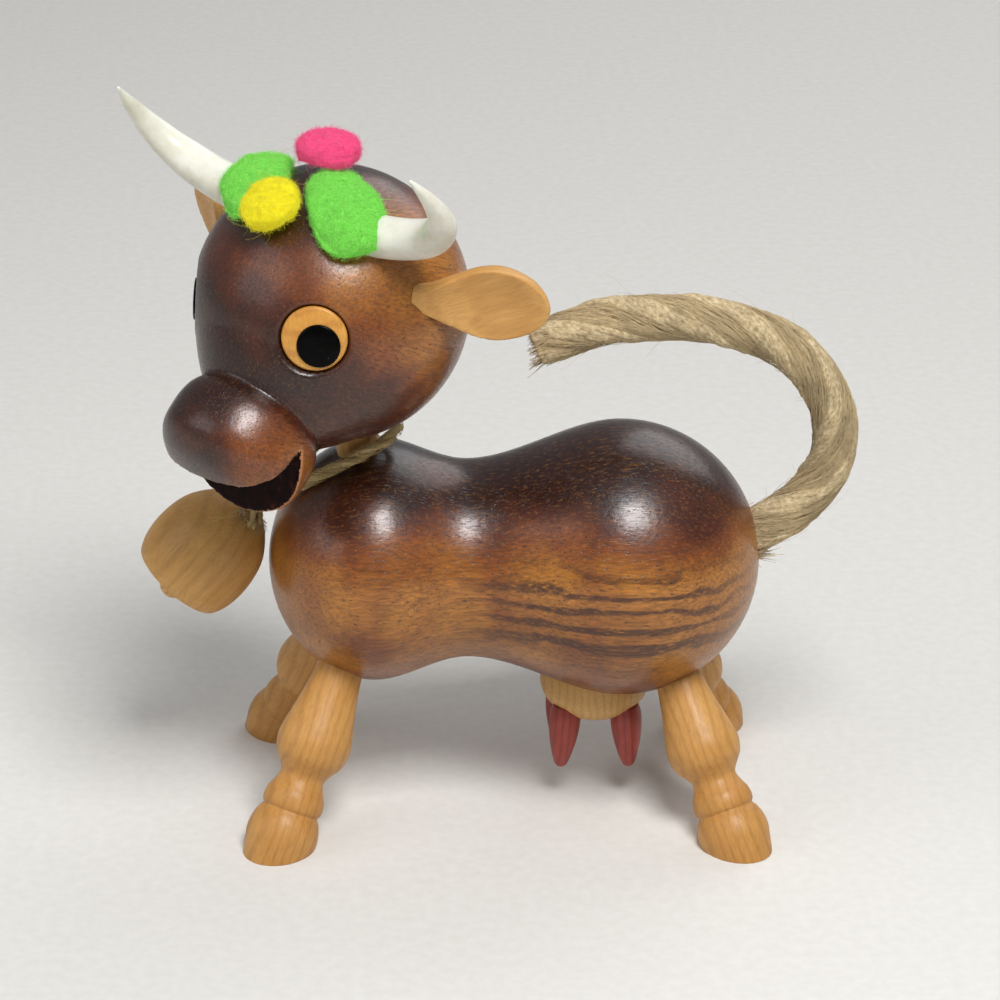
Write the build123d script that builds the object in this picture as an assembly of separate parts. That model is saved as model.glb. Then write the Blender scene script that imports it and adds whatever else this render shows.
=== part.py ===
from build123d import *
import os
from math import cos, hypot, radians, sin, sqrt, tan

# Wooden cow figurine, in millimetres. The cow looks along -X and stands on Z = 0, its left side is -Y.
# The model is made about the middle of the body and moved to the middle of its footprint at the end.

# Fits between pieces
glue_gap = 0.05
turning_gap = 0.08
cutter_reach = 200.0

# Body, turned about X; the shares are places along its length, from the chest end
body_length = 81.6
body_axis_height = 43.0
chest_radius = 20.3
waist_radius = 16.5
rump_radius = 23.0
chest_place_share = 0.216
waist_place_share = 0.402
rump_place_share = 0.717

# Legs, turned; the shares are heights over the sole along the leg's own axis
hip_inset_front = 11.5
hip_inset_rear = 13.4
hip_spread = 9.5
leg_lean_front = 21.5
leg_lean_rear = 21.5
leg_splay_front = 25.0
leg_splay_rear = 28.0
hip_radius = 3.9
knee_radius = 6.2
ankle_radius = 3.75
pastern_radius = 5.1
groove_radius = 4.75
hoof_radius = 6.0
tenon_radius = 2.6
tenon_length = 6.0
hoof_place_shares = (-0.13, 0.0, 0.08)
hoof_size_shares = (0.8, 0.93, 1.0)
groove_place_share = 0.22
pastern_place_share = 0.27
ankle_place_share = 0.41
shin_place_share = 0.51
knee_place_share = 0.61
thigh_place_share = 0.75
shin_size_share = 0.9
thigh_size_share = 0.86

# Udder, turned, and its four teats; it keeps its distance from the rump's end
udder_inset = 26.8
udder_radius = 9.2
udder_drop = 6.6
udder_tenon_radius = 3.0
udder_tenon_length = 5.0
teat_spacing_long = 10.2
teat_spacing_cross = 9.0
teat_radius = 2.6
teat_length = 9.9
teat_peg_radius = 1.2
teat_peg_length = 1.8
teat_splay = 4.0
teat_waist_share = 0.75
teat_waist_size_share = 0.5

# Head, turned about the muzzle's axis, on a leaning dowel that keeps its distance from the chest's end
neck_inset = 14.8
neck_radius = 3.65
neck_show = 6.7
neck_socket_depth = 9.0
head_socket_depth = 9.0
neck_lean_forward = 9.2
neck_lean_left = 12.1
head_turn = 47.4
head_radius = 22.3
cheek_angle = 44.0
muzzle_drop = 23.7
crease_place = 21.8
crease_radius = 10.5
muzzle_radius = 12.3
muzzle_end = 36.6
muzzle_place_shares = (0.17, 0.41, 0.68, 0.89, 0.98)
muzzle_size_shares = (0.965, 1.0, 0.955, 0.72, 0.38)
mouth_corner_place = 26.1
mouth_corner_rise = 1.2
mouth_angle_up = 7.0
mouth_angle_down = 50.0

# Eyes: a wooden disc in a countersunk recess and a black disc on it; the right one sits lower and further back
eye_azimuth_left = 35.4
eye_rise_left = 19.0
eye_azimuth_right = 52.0
eye_rise_right = 11.0
eye_radius = 5.2
eye_thickness = 1.5
eye_recess_radius = 5.4
eye_recess_rim_radius = 5.95
eye_recess_depth = 1.6
pupil_radius = 3.45
pupil_thickness = 0.5
pupil_shift_down = 1.1
pupil_shift_out = 0.6

# Ears, turned and then sliced flat and scooped; the shares run from root to tip
ear_azimuth = 91.0
ear_rise = 18.6
ear_sweep = 31.6
ear_droop = 9.7
ear_roll = 4.0
ear_length = 19.2
ear_radius = 6.2
ear_face_rise = 0.6
ear_scoop_depth = 0.8
ear_back_depth = 3.6
ear_peg_radius = 1.6
ear_peg_length = 4.0
ear_place_shares = (0.0, 0.2, 0.4, 0.6, 0.82, 0.95)
ear_size_shares = (0.43, 0.7, 0.95, 1.0, 0.76, 0.38)

# Horns, tapered mouldings; the line's two inner points and its tip are off the root
horn_azimuth = 81.75
horn_rise = 54.3
horn_radius = 3.4
horn_out = 21.5
horn_height = 18.5
horn_forward = 6.45
horn_peg_radius = 1.8
horn_peg_length = 4.0
horn_first_shares = (-0.06, 0.29, 0.02)
horn_second_shares = (-0.51, 1.0, 0.06)
horn_tip_shares = (1.0, 0.79, 1.0)
horn_ring_shares = (0.0, 0.25, 0.5, 0.72, 0.88, 0.985)
horn_size_shares = (1.0, 0.97, 0.88, 0.66, 0.4, 0.1)

# Felt pieces on the crown, two leaves on the ball and two flowers on the leaves
felt_gap = 0.15
leaf_thickness = 3.4
flower_thickness = 2.8
leaf_length = 17.0
leaf_width = 11.2
leaf_azimuth_left = 77.5
leaf_rise_left = 67.5
leaf_turn_left = 67.0
leaf_azimuth_right = 74.0
leaf_rise_right = 68.0
leaf_turn_right = -5.0
yellow_length = 9.0
yellow_width = 8.3
yellow_azimuth = 0.0
yellow_rise = 69.3
yellow_turn = 55.0
pink_length = 9.8
pink_width = 9.4
pink_azimuth = 180.0
pink_rise = 78.0
pink_turn = 20.0

# Bell, hollow, leaning on the chest, and its clapper; its top is before the chest's end, over the axis
bell_out = 3.4
bell_rise = 10.1
bell_lean = 40.0
bell_length = 18.0
bell_radius = 9.4
bell_wall = 1.4
bell_hole_radius = 1.3
bell_place_shares = (0.0, 0.16, 0.33, 0.5, 0.7, 0.87, 1.0)
bell_size_shares = (0.27, 0.65, 0.87, 0.97, 1.0, 0.96, 0.87)
clapper_radius = 2.4
clapper_stem_radius = 0.8
clapper_show = 3.6

# Collar of jute twine, from the bell round the neck and back to the bell; its loop is off the
# chest's end and the body's axis
twine_radius = 1.0
twine_entry = 0.6
twine_rise = 2.0
collar_offsets = [
    (-0.2, -1.6, 13.4),
    (4.0, -4.6, 14.6),
    (9.2, -6.2, 18.2),
    (14.8, -6.6, 21.4),
    (19.4, -5.0, 23.4),
    (21.4, -1.4, 24.0),
    (20.9, 2.6, 23.6),
    (17.4, 5.0, 22.8),
    (12.4, 4.4, 21.4),
    (7.4, 2.6, 19.0),
    (2.8, 1.6, 15.6),
    (-0.6, 1.2, 13.2),
]

# Tail of hemp rope on a wire core; its route is off the rump's end and the body's axis
tail_radius = 4.0
tail_wire_radius = 0.8
tail_offsets = [
    (-6.8, 0.0, 0.6),
    (1.7, 0.0, 6.0),
    (8.2, 0.0, 11.0),
    (12.0, 0.0, 17.9),
    (11.5, 0.0, 26.6),
    (7.8, 0.0, 33.6),
    (1.0, 0.0, 39.2),
    (-8.2, 0.0, 42.4),
    (-18.4, 0.0, 43.0),
    (-28.8, 0.0, 42.2),
    (-37.9, 0.0, 37.9),
]
arc_share = 0.45


def turned(edges, start, end):
    """Solid turned about X from an outline above X that runs from start to end."""
    outline = make_face([*edges, Line((end, 0), (start, 0))])
    return revolve(outline, Axis.X)


def rod(radius, start, end):
    """Round rod along X."""
    return turned([Polyline((start, 0), (start, radius), (end, radius), (end, 0))], start, end)


def along(origin, direction):
    """Place whose X runs along a direction."""
    heading = Vector(*direction).normalized()
    side = Vector(0, 1, 0).cross(heading).normalized()
    return Plane(origin=origin, x_dir=heading, z_dir=side).location


def ease(share):
    """Smooth step from 0 to 1."""
    return share * share * (3 - 2 * share)


# Places along the body
body_start = -body_length / 2
body_end = body_length / 2
chest_place = body_start + body_length * chest_place_share
waist_place = body_start + body_length * waist_place_share
rump_place = body_start + body_length * rump_place_share
neck_place = body_start + neck_inset
udder_place = body_end - udder_inset


def off_end(end, offsets):
    """Points off one end of the body's axis."""
    return [(end + x, y, body_axis_height + z) for x, y, z in offsets]


collar_loop = off_end(body_start, collar_offsets)
tail_route = off_end(body_end, tail_offsets)


def body_form(offset):
    """The turned body, grown by an offset so that other pieces can be fitted to it."""
    start = body_start - offset
    end = body_end + offset
    chest = (chest_place, chest_radius + offset)
    waist = (waist_place, waist_radius + offset)
    rump = (rump_place, rump_radius + offset)
    edges = [
        EllipticalCenterArc((chest_place, 0), chest_place - start, chest[1], 90),
        Spline(chest, waist, rump, tangents=[(1, 0), (1, 0), (1, 0)]),
        EllipticalCenterArc((rump_place, 0), end - rump_place, rump[1]),
    ]
    return Pos(0, 0, body_axis_height) * turned(edges, start, end)


def body_radius(place):
    """Radius of the body at a place on its length."""
    if place < chest_place:
        return chest_radius * sqrt(1 - ((chest_place - place) / (chest_place - body_start)) ** 2)
    if place < waist_place:
        return chest_radius + (waist_radius - chest_radius) * ease(
            (place - chest_place) / (waist_place - chest_place))
    if place < rump_place:
        return waist_radius + (rump_radius - waist_radius) * ease(
            (place - waist_place) / (rump_place - waist_place))
    return rump_radius * sqrt(1 - ((place - rump_place) / (body_end - rump_place)) ** 2)


class Leg:
    """Where one leg stands: its hip on the body and its sole on the floor."""

    def __init__(self, fore, side):
        self.place = body_start + hip_inset_front if fore < 0 else body_end - hip_inset_rear
        lean = leg_lean_front if fore < 0 else leg_lean_rear
        splay = leg_splay_front if fore < 0 else leg_splay_rear
        drop = sqrt(body_radius(self.place) ** 2 - hip_spread ** 2)
        self.hip = Vector(self.place, side * hip_spread, body_axis_height - drop)
        self.upward = Vector(-fore * tan(radians(lean)), -side * tan(radians(splay)), 1).normalized()
        self.run = self.hip.Z / self.upward.Z
        self.frame = along(self.hip - self.upward * self.run, self.upward)

    def solid(self, bodywork):
        """Hoof, groove, pastern, ankle, knee and thigh, cut to the body, with a tenon."""
        run = self.run
        hoof = [(run * at, hoof_radius * size) for at, size in zip(hoof_place_shares, hoof_size_shares)]
        groove = (run * groove_place_share, groove_radius)
        stub_end = run + tenon_length / 2
        shank = [
            (run * pastern_place_share, pastern_radius),
            (run * ankle_place_share, ankle_radius),
            (run * shin_place_share, knee_radius * shin_size_share),
            (run * knee_place_share, knee_radius),
            (run * thigh_place_share, knee_radius * thigh_size_share),
            (run, hip_radius),
            (stub_end, hip_radius),
        ]
        edges = [
            Line((hoof[0][0], 0), hoof[0]),
            Spline(*hoof, groove),
            Spline(groove, *shank),
            Line(shank[-1], (stub_end, 0)),
        ]
        shape = self.frame * turned(edges, hoof[0][0], stub_end) - bodywork
        shape += self.frame * rod(tenon_radius, run * knee_place_share, run + tenon_length)
        return shape - Pos(0, 0, -cutter_reach / 2) * Box(cutter_reach, cutter_reach, cutter_reach)

    def socket(self):
        """Bore for the tenon."""
        bore = rod(tenon_radius + glue_gap, self.run - tenon_length, self.run + tenon_length + glue_gap)
        return self.frame * bore


# Head place: X looks forward, Y to the cow's left, Z up the neck
neck_base = Vector(neck_place, 0, body_axis_height + body_radius(neck_place))
neck_turn = Rot(Y=-neck_lean_forward) * Rot(X=neck_lean_left) * Rot(Z=180 + head_turn)
neck_frame = Pos(*neck_base) * neck_turn
head_frame = neck_frame * Pos(0, 0, neck_show + head_radius)
muzzle_frame = head_frame * Rot(Y=muzzle_drop)


def neck_rod(gap, end):
    """Dowel or its bore, from the body's socket to a depth in the head."""
    blank = rod(neck_radius + gap, -neck_socket_depth - gap, end)
    return neck_frame * Rot(Y=-90) * blank


def head_turning():
    """Ball, crease and muzzle, turned about the muzzle's axis."""
    cheek = (head_radius * cos(radians(cheek_angle)), head_radius * sin(radians(cheek_angle)))
    crease = (crease_place, crease_radius)
    muzzle_length = muzzle_end - crease_place
    muzzle = [
        (crease_place + muzzle_length * at, muzzle_radius * size)
        for at, size in zip(muzzle_place_shares, muzzle_size_shares)
    ]
    slope = (cheek[1], -cheek[0])
    edges = [
        ThreePointArc((-head_radius, 0), (0, head_radius), cheek),
        Spline(cheek, crease, tangents=[slope, slope]),
        Spline(crease, *muzzle, (muzzle_end, 0)),
    ]
    return muzzle_frame * turned(edges, -head_radius, muzzle_end)


def mouth_cut():
    """Wedge sawn into the front of the muzzle."""
    reach = muzzle_end - mouth_corner_place + muzzle_radius
    corner = (mouth_corner_place, mouth_corner_rise)
    upper = (corner[0] + reach, corner[1] + reach * tan(radians(mouth_angle_up)))
    lower = (corner[0] + reach, corner[1] - reach * tan(radians(mouth_angle_down)))
    wedge = make_face(Plane.XZ * Polyline(corner, upper, lower, close=True))
    return muzzle_frame * extrude(wedge, amount=head_radius, both=True)


def on_ball(azimuth, rise):
    """Place at the middle of the head whose X points out at the given angles."""
    return head_frame * Rot(Z=azimuth) * Rot(Y=-rise)


# Distances of the recess's rim, its floor and the eye's face from the middle of the head
eye_rim_place = sqrt(head_radius ** 2 - eye_recess_rim_radius ** 2)
eye_floor_place = eye_rim_place - eye_recess_depth
eye_face_place = eye_floor_place + glue_gap + eye_thickness


def eye_frame(side):
    """Place at the middle of the head whose X points out through one eye."""
    if side > 0:
        return on_ball(eye_azimuth_left, eye_rise_left)
    return on_ball(-eye_azimuth_right, eye_rise_right)


def eye_recess(side):
    """Round recess with a countersunk rim."""
    flare = eye_recess_rim_radius - eye_recess_radius
    outer = eye_recess_rim_radius + flare
    outline = Polyline(
        (eye_floor_place, 0),
        (eye_floor_place, eye_recess_radius),
        (eye_rim_place - flare, eye_recess_radius),
        (eye_rim_place + flare, outer),
        (head_radius + flare, outer),
        (head_radius + flare, 0),
    )
    return eye_frame(side) * turned([outline], eye_floor_place, head_radius + flare)


def disc(radius, start, thickness):
    """Round disc along X with an eased front edge."""
    blank = rod(radius, start, start + thickness)
    front = blank.faces().sort_by(Axis.X)[-1]
    return chamfer(front.edges(), thickness / 4)


def eye_disc(side):
    """Wooden disc of one eye."""
    return eye_frame(side) * disc(eye_radius, eye_floor_place + glue_gap, eye_thickness)


def pupil(side):
    """Black disc, set low and outwards on the eye."""
    shift = Pos(0, side * pupil_shift_out, -pupil_shift_down)
    return eye_frame(side) * shift * disc(
        pupil_radius, eye_face_place + glue_gap, pupil_thickness)


def ear_frame(side):
    """Root of one ear on the ball: X along the ear, Z out of its flat face."""
    root = on_ball(side * ear_azimuth, ear_rise) * Pos(head_radius, 0, 0)
    heading = Rot(Z=side * (90 + ear_sweep)) * Rot(Y=ear_droop)
    return Pos(*root.position) * neck_turn * heading * Rot(X=side * (90 - ear_roll))


def ear(side, ball):
    """Ear sliced flat in front with a shallow scoop, rounded behind, with a peg."""
    outline = [(ear_length * at, ear_radius * size) for at, size in zip(ear_place_shares, ear_size_shares)]
    root = (-ear_peg_length / 2, outline[0][1])
    edges = [Polyline((root[0], 0), root, outline[0]), Spline(*outline, (ear_length, 0))]
    blank = turned(edges, root[0], ear_length)
    blade_start = outline[1][0]
    span = ear_length - blade_start
    slab = Box(cutter_reach, cutter_reach, cutter_reach)
    front = Pos(blade_start + cutter_reach / 2, 0, ear_face_rise + cutter_reach / 2) * slab
    back = Pos(0, 0, -ear_back_depth - cutter_reach / 2) * slab
    scoop_radius = ((span / 2) ** 2 + ear_scoop_depth ** 2) / (2 * ear_scoop_depth)
    scoop = Pos(blade_start + span / 2, 0, ear_face_rise + scoop_radius - ear_scoop_depth) * Sphere(scoop_radius)
    blade = ear_frame(side) * (blank - front - back - scoop) - ball
    return blade + ear_frame(side) * rod(ear_peg_radius, -ear_peg_length, blade_start)


def ear_socket(side):
    """Bore for one ear's peg."""
    return ear_frame(side) * rod(ear_peg_radius + glue_gap, -ear_peg_length - glue_gap, ear_peg_length)


def horn_frame(side):
    """Root of one horn on the ball, with the head's own directions."""
    root = on_ball(side * horn_azimuth, horn_rise) * Pos(head_radius, 0, 0)
    return Pos(*root.position) * neck_turn


def horn_point(side, shares):
    """Point off the horn's root: forward, out and up, as shares of the horn's reach."""
    return Vector(horn_forward * shares[0], side * horn_out * shares[1], horn_height * shares[2])


def horn_line(side):
    """Centre line of one horn."""
    controls = [horn_point(side, shares) for shares in (horn_first_shares, horn_second_shares, horn_tip_shares)]
    return Bezier((0, 0, 0), *controls)


def horn_form(side, gap):
    """Tapered form on the horn's curved line, grown by a gap, that starts inside the ball."""
    line = horn_line(side)
    start = line % 0
    rings = [Plane(origin=start * -horn_radius, z_dir=start) * Circle(horn_radius + gap)]
    for at, size in zip(horn_ring_shares, horn_size_shares):
        rings.append(Plane(origin=line @ at, z_dir=line % at) * Circle(horn_radius * size + gap))
    return horn_frame(side) * loft(rings)


def horn(side, ball):
    """Horn cut to the ball, with a peg."""
    return horn_form(side, 0) - ball + horn_peg(side, 0)


def horn_peg(side, gap):
    """Peg of one horn, or its bore."""
    start = horn_line(side) % 0
    blank = rod(horn_peg_radius + gap, -horn_peg_length - gap, horn_radius)
    return horn_frame(side) * along((0, 0, 0), start) * blank


def felt(place, turn, length, width, inner, thickness):
    """Oval patch of felt that follows the ball, from an inner radius outwards."""
    shell = head_frame * (Sphere(inner + thickness) - Sphere(inner))
    oval = Plane.YZ * Rot(Z=turn) * Ellipse(length / 2, width / 2)
    return shell & place * extrude(oval, amount=head_radius + muzzle_end)


def leaf(side):
    """Leaf on the ball, cut round the horn beside it."""
    place = on_ball(leaf_azimuth_left, leaf_rise_left)
    turn = leaf_turn_left
    if side < 0:
        place = on_ball(-leaf_azimuth_right, leaf_rise_right)
        turn = -leaf_turn_right
    patch = felt(place, turn, leaf_length, leaf_width, head_radius + felt_gap, leaf_thickness)
    return patch - horn_form(side, felt_gap)


def flower(azimuth, rise, turn, length, width):
    """Flower on the leaves."""
    inner = head_radius + felt_gap + leaf_thickness + felt_gap
    return felt(on_ball(azimuth, rise), turn, length, width, inner, flower_thickness)


belly_height = body_axis_height - body_radius(udder_place)
udder_frame = along((udder_place, 0, belly_height), (0, 0, -1))


def udder_form(offset):
    """Turned bowl whose X points down, grown by an offset."""
    drop = udder_drop + offset
    width = udder_radius + offset
    outline = Polyline((-udder_drop, 0), (-udder_drop, width), (0, width))
    return udder_frame * turned([outline, EllipticalCenterArc((0, 0), drop, width)], -udder_drop, drop)


def udder_peg(gap):
    """Tenon of the udder, or its bore."""
    return udder_frame * rod(udder_tenon_radius + gap, -udder_tenon_length - gap, udder_drop / 2)


def teat_frame(fore, side):
    """Top of one teat on the udder, X down the teat."""
    out_long = fore * teat_spacing_long / 2
    out_cross = side * teat_spacing_cross / 2
    share = hypot(out_long, out_cross) / udder_radius
    height = belly_height - udder_drop * sqrt(1 - share ** 2)
    splay = sin(radians(teat_splay))
    return along((udder_place + out_long, out_cross, height), (fore * splay, side * splay, -1))


def teat(fore, side, bowl):
    """Tapered teat seated on the udder, with a peg."""
    waist = (teat_length * teat_waist_share, teat_radius * teat_waist_size_share)
    edges = [
        Polyline((-teat_radius, 0), (-teat_radius, teat_radius), (0, teat_radius)),
        Spline((0, teat_radius), waist, (teat_length, 0)),
    ]
    shape = teat_frame(fore, side) * turned(edges, -teat_radius, teat_length) - bowl
    return shape + teat_peg(fore, side, 0)


def teat_peg(fore, side, gap):
    """Peg of one teat, or its bore."""
    return teat_frame(fore, side) * rod(teat_peg_radius + gap, -teat_peg_length - gap, teat_length / 2)


bell_frame = along(
    (body_start - bell_out, 0, body_axis_height + bell_rise),
    (-sin(radians(bell_lean)), 0, -cos(radians(bell_lean))),
)


def bell_point(depth):
    """Point on the bell's axis at a depth below its top."""
    return (bell_frame * Pos(depth, 0, 0)).position


# The twine starts in the hole at the bell's top
collar_route = [tuple(bell_point(twine_entry)), tuple(bell_point(-twine_rise)), *collar_loop]


def bell():
    """Hollow bell, turned, with a hole for the twine at its top."""
    outside = [(bell_length * at, bell_radius * size) for at, size in zip(bell_place_shares, bell_size_shares)]
    inside = [(at, radius - bell_wall) for at, radius in outside[1:]]
    edges = [
        Line((0, bell_hole_radius), outside[0]),
        Spline(*outside),
        Line(outside[-1], inside[-1]),
        Spline(*reversed(inside)),
        Polyline(inside[0], (inside[0][0], bell_hole_radius), (0, bell_hole_radius)),
    ]
    return bell_frame * revolve(make_face(edges), Axis.X)


def clapper():
    """Turned bead on a thin stem inside the bell."""
    centre = bell_length + clapper_show - clapper_radius
    bead = Pos(centre, 0, 0) * Sphere(clapper_radius)
    return bell_frame * (bead + rod(clapper_stem_radius, bell_wall, centre))


def route_radii(route):
    """Arc radius at each corner of a route, as large as its two runs allow."""
    radii = []
    for before, corner, after in zip(route, route[1:], route[2:]):
        first = Vector(*corner) - Vector(*before)
        second = Vector(*after) - Vector(*corner)
        half_turn = radians(first.get_angle(second) / 2)
        radii.append(arc_share * min(first.length, second.length) / tan(half_turn))
    return radii


def tube(route, radius, bore=0):
    """Round tube along straight runs joined by tangent arcs."""
    line = FilletPolyline(*route, radius=route_radii(route))
    section = Circle(radius)
    if bore:
        section -= Circle(bore)
    return sweep(Plane(origin=line @ 0, z_dir=line % 0) * section, path=line)


def bodywork():
    """Body, legs, udder, teats, neck and tail."""
    pieces = {}
    outside = body_form(glue_gap)
    bowl = udder_form(glue_gap)
    sockets = []
    peg_bores = []
    for fore, end in ((-1, "front"), (1, "rear")):
        for side, hand in ((-1, "left"), (1, "right")):
            one_leg = Leg(fore, side)
            pieces[f"leg_{end}_{hand}"] = one_leg.solid(outside)
            pieces[f"teat_{end}_{hand}"] = teat(fore, side, bowl)
            sockets.append(one_leg.socket())
            peg_bores.append(teat_peg(fore, side, glue_gap))
    sockets.append(udder_peg(glue_gap))
    sockets.append(neck_rod(glue_gap, neck_show))
    sockets.append(tube(tail_route[:3], tail_radius + glue_gap))
    pieces["body"] = body_form(0) - sockets
    pieces["udder"] = (udder_form(0) - peg_bores) - outside + udder_peg(0)
    pieces["neck_dowel"] = neck_rod(0, neck_show + head_socket_depth)
    pieces["tail_rope"] = tube(tail_route, tail_radius, tail_wire_radius + glue_gap)
    pieces["tail_wire"] = tube(tail_route, tail_wire_radius)
    return pieces


def headwork():
    """Head with its eyes, ears, horns and felts."""
    pieces = {}
    ball = head_frame * Sphere(head_radius + glue_gap)
    bores = [mouth_cut(), neck_rod(turning_gap, neck_show + head_socket_depth + turning_gap)]
    for side, hand in ((1, "left"), (-1, "right")):
        bores += [eye_recess(side), ear_socket(side), horn_peg(side, glue_gap)]
        pieces[f"eye_disc_{hand}"] = eye_disc(side)
        pieces[f"pupil_{hand}"] = pupil(side)
        pieces[f"ear_{hand}"] = ear(side, ball)
        pieces[f"horn_{hand}"] = horn(side, ball)
        pieces[f"leaf_{hand}"] = leaf(side)
    pieces["head"] = head_turning() - bores
    pieces["flower_yellow"] = flower(yellow_azimuth, yellow_rise, yellow_turn, yellow_length, yellow_width)
    pieces["flower_pink"] = flower(pink_azimuth, pink_rise, pink_turn, pink_length, pink_width)
    return pieces


def build():
    """Every piece by name, about the middle of the body."""
    pieces = {**bodywork(), **headwork()}
    pieces["bell"] = bell()
    pieces["clapper"] = clapper()
    pieces["collar_twine"] = tube(collar_route, twine_radius)
    return pieces


def footprint_shift(pieces):
    """Move that brings the middle of the whole cow's footprint to the origin."""
    boxes = [shape.bounding_box() for shape in pieces.values()]
    middle_x = (min(box.min.X for box in boxes) + max(box.max.X for box in boxes)) / 2
    middle_y = (min(box.min.Y for box in boxes) + max(box.max.Y for box in boxes)) / 2
    return Vector(-middle_x, -middle_y, -min(box.min.Z for box in boxes))


def print_cord(name, shape, route, radius):
    """Print a cord's arc radii, its length and how its volume compares with section times length."""
    length = FilletPolyline(*route, radius=route_radii(route)).length
    whole = length * Circle(radius).area
    radii = " ".join(f"{arc:.1f}" for arc in route_radii(route))
    print(f"{name}: length {length:.1f}, volume {shape.volume:.1f} of {whole:.1f}, arc radii {radii}")


def write():
    """Move every piece to the middle of the footprint and save it."""
    pieces = build()
    shift = footprint_shift(pieces)
    print(f"shift {shift.X:.4f} {shift.Y:.4f} {shift.Z:.4f}")
    print_cord("collar_twine", pieces["collar_twine"], collar_route, twine_radius)
    print_cord("tail_wire", pieces["tail_wire"], tail_route, tail_wire_radius)
    os.makedirs("parts", exist_ok=True)
    for name, shape in pieces.items():
        export_step(Pos(*shift) * shape, f"parts/{name}.step")


if __name__ == "__main__":
    write()
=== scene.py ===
import math
import random

import bpy
from mathutils import Matrix, Vector, noise


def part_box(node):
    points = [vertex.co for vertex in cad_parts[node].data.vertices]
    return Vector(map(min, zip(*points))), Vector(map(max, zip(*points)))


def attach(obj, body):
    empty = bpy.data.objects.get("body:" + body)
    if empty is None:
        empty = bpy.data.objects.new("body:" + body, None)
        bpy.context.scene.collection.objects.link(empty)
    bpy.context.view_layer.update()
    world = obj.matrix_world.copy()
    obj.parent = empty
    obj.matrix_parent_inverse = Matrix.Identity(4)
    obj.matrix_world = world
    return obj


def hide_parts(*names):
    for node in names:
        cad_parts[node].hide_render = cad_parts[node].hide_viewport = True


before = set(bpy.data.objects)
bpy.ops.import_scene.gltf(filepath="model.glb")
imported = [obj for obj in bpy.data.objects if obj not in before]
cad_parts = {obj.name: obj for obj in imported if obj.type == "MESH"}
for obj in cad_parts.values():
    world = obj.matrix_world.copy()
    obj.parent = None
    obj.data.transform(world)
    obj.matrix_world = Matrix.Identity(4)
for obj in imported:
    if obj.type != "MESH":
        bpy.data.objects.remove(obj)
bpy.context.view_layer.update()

# Wooden cow figurine: turned wood, felt, horn, hemp and jute, dressed over its measured frame.
# Pieces are made in millimetres about the middle of the body, as on the workbench, and then
# seated in metres. The cow looks along -X, its left side is -Y.

MM = 0.001
body_low, body_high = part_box("body")
middle = Vector(((body_low[0] + body_high[0]) / 2, (body_low[1] + body_high[1]) / 2, 0))
bench = Matrix.Translation(middle) @ Matrix.Scale(MM, 4)

# Body
body_length = 81.6
body_axis_height = 43.0
chest_radius = 20.3
waist_radius = 16.5
rump_radius = 23.0
chest_place = -body_length / 2 + body_length * 0.216
waist_place = -body_length / 2 + body_length * 0.402
rump_place = -body_length / 2 + body_length * 0.717

# Legs
hip_places = {-1: -body_length / 2 + 11.5, 1: body_length / 2 - 13.4}
hip_spread = 9.5
leg_lean = 21.5
leg_splays = {-1: 25.0, 1: 28.0}

# Head
neck_place = -26.0
neck_show = 6.7
neck_radius = 3.65
head_radius = 22.3
head_turn = 47.4
lean_forward = 9.2
lean_left = 12.1
muzzle_drop = 23.7
cheek_angle = 44.0
crease = (21.8, 10.5)
muzzle_end = 36.6
muzzle_radius = 12.3
mouth_corner = (26.1, 1.2)
mouth_up = 7.0
mouth_down = 50.0
eye_angles = {1: (35.4, 19.0), -1: (-52.0, 11.0)}

# Bell; its crown falls by crown_fall times the square of the distance from its axis
bell_top = Vector((-44.2, 0, 53.1))
bell_lean = 40.0
bell_length = 18.0
crown_fall = 0.085

# The twine round the neck and the rope tail: their points are the frame's. Strands lie on a
# circle about the cord's line and go once round it in one lay; points lie one spacing apart.
twine_lay, twine_offset, ply_radius, twine_spacing = 11.0, 0.44, 0.58, 0.16
twine_loop = [
    (-41.0, -1.6, 56.4), (-36.8, -4.6, 57.6), (-31.6, -6.2, 61.2), (-26.0, -6.6, 64.4),
    (-21.4, -5.0, 66.4), (-19.4, -1.4, 67.0), (-19.9, 2.6, 66.6), (-23.4, 5.0, 65.8),
    (-28.4, 4.4, 64.4), (-33.4, 2.6, 62.0), (-38.0, 1.6, 58.6), (-41.4, 1.2, 56.2),
]
rope_lay, rope_offset, strand_radius, rope_spacing = 46.0, 1.62, 2.3, 0.28
rope_root, rope_tip = Vector((37.8, 0, 46.2)), Vector((4.4, 0, 81.5))
tail_line = [
    (34.0, 0, 43.6), (42.5, 0, 49.0), (49.0, 0, 54.0), (52.8, 0, 60.9), (52.3, 0, 69.6), (48.6, 0, 76.6),
    (41.8, 0, 82.2), (32.6, 0, 85.4), (22.4, 0, 86.0), (12.0, 0, 85.2), (2.9, 0, 80.9),
]


def turn(axis, degrees):
    """Rotation about an axis, as a matrix."""
    return Matrix.Rotation(math.radians(degrees), 4, axis)


def move(x, y, z):
    """Shift, as a matrix."""
    return Matrix.Translation((x, y, z))


def along(origin, direction):
    """Place whose X runs along a direction."""
    heading = Vector(direction).normalized()
    side = Vector((0, 1, 0)).cross(heading).normalized()
    across = side.cross(heading)
    turned_axes = Matrix((heading, across, side)).transposed().to_4x4()
    return Matrix.Translation(Vector(origin)) @ turned_axes


def ease(share):
    """Smooth step from 0 to 1."""
    return share * share * (3 - 2 * share)


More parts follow.
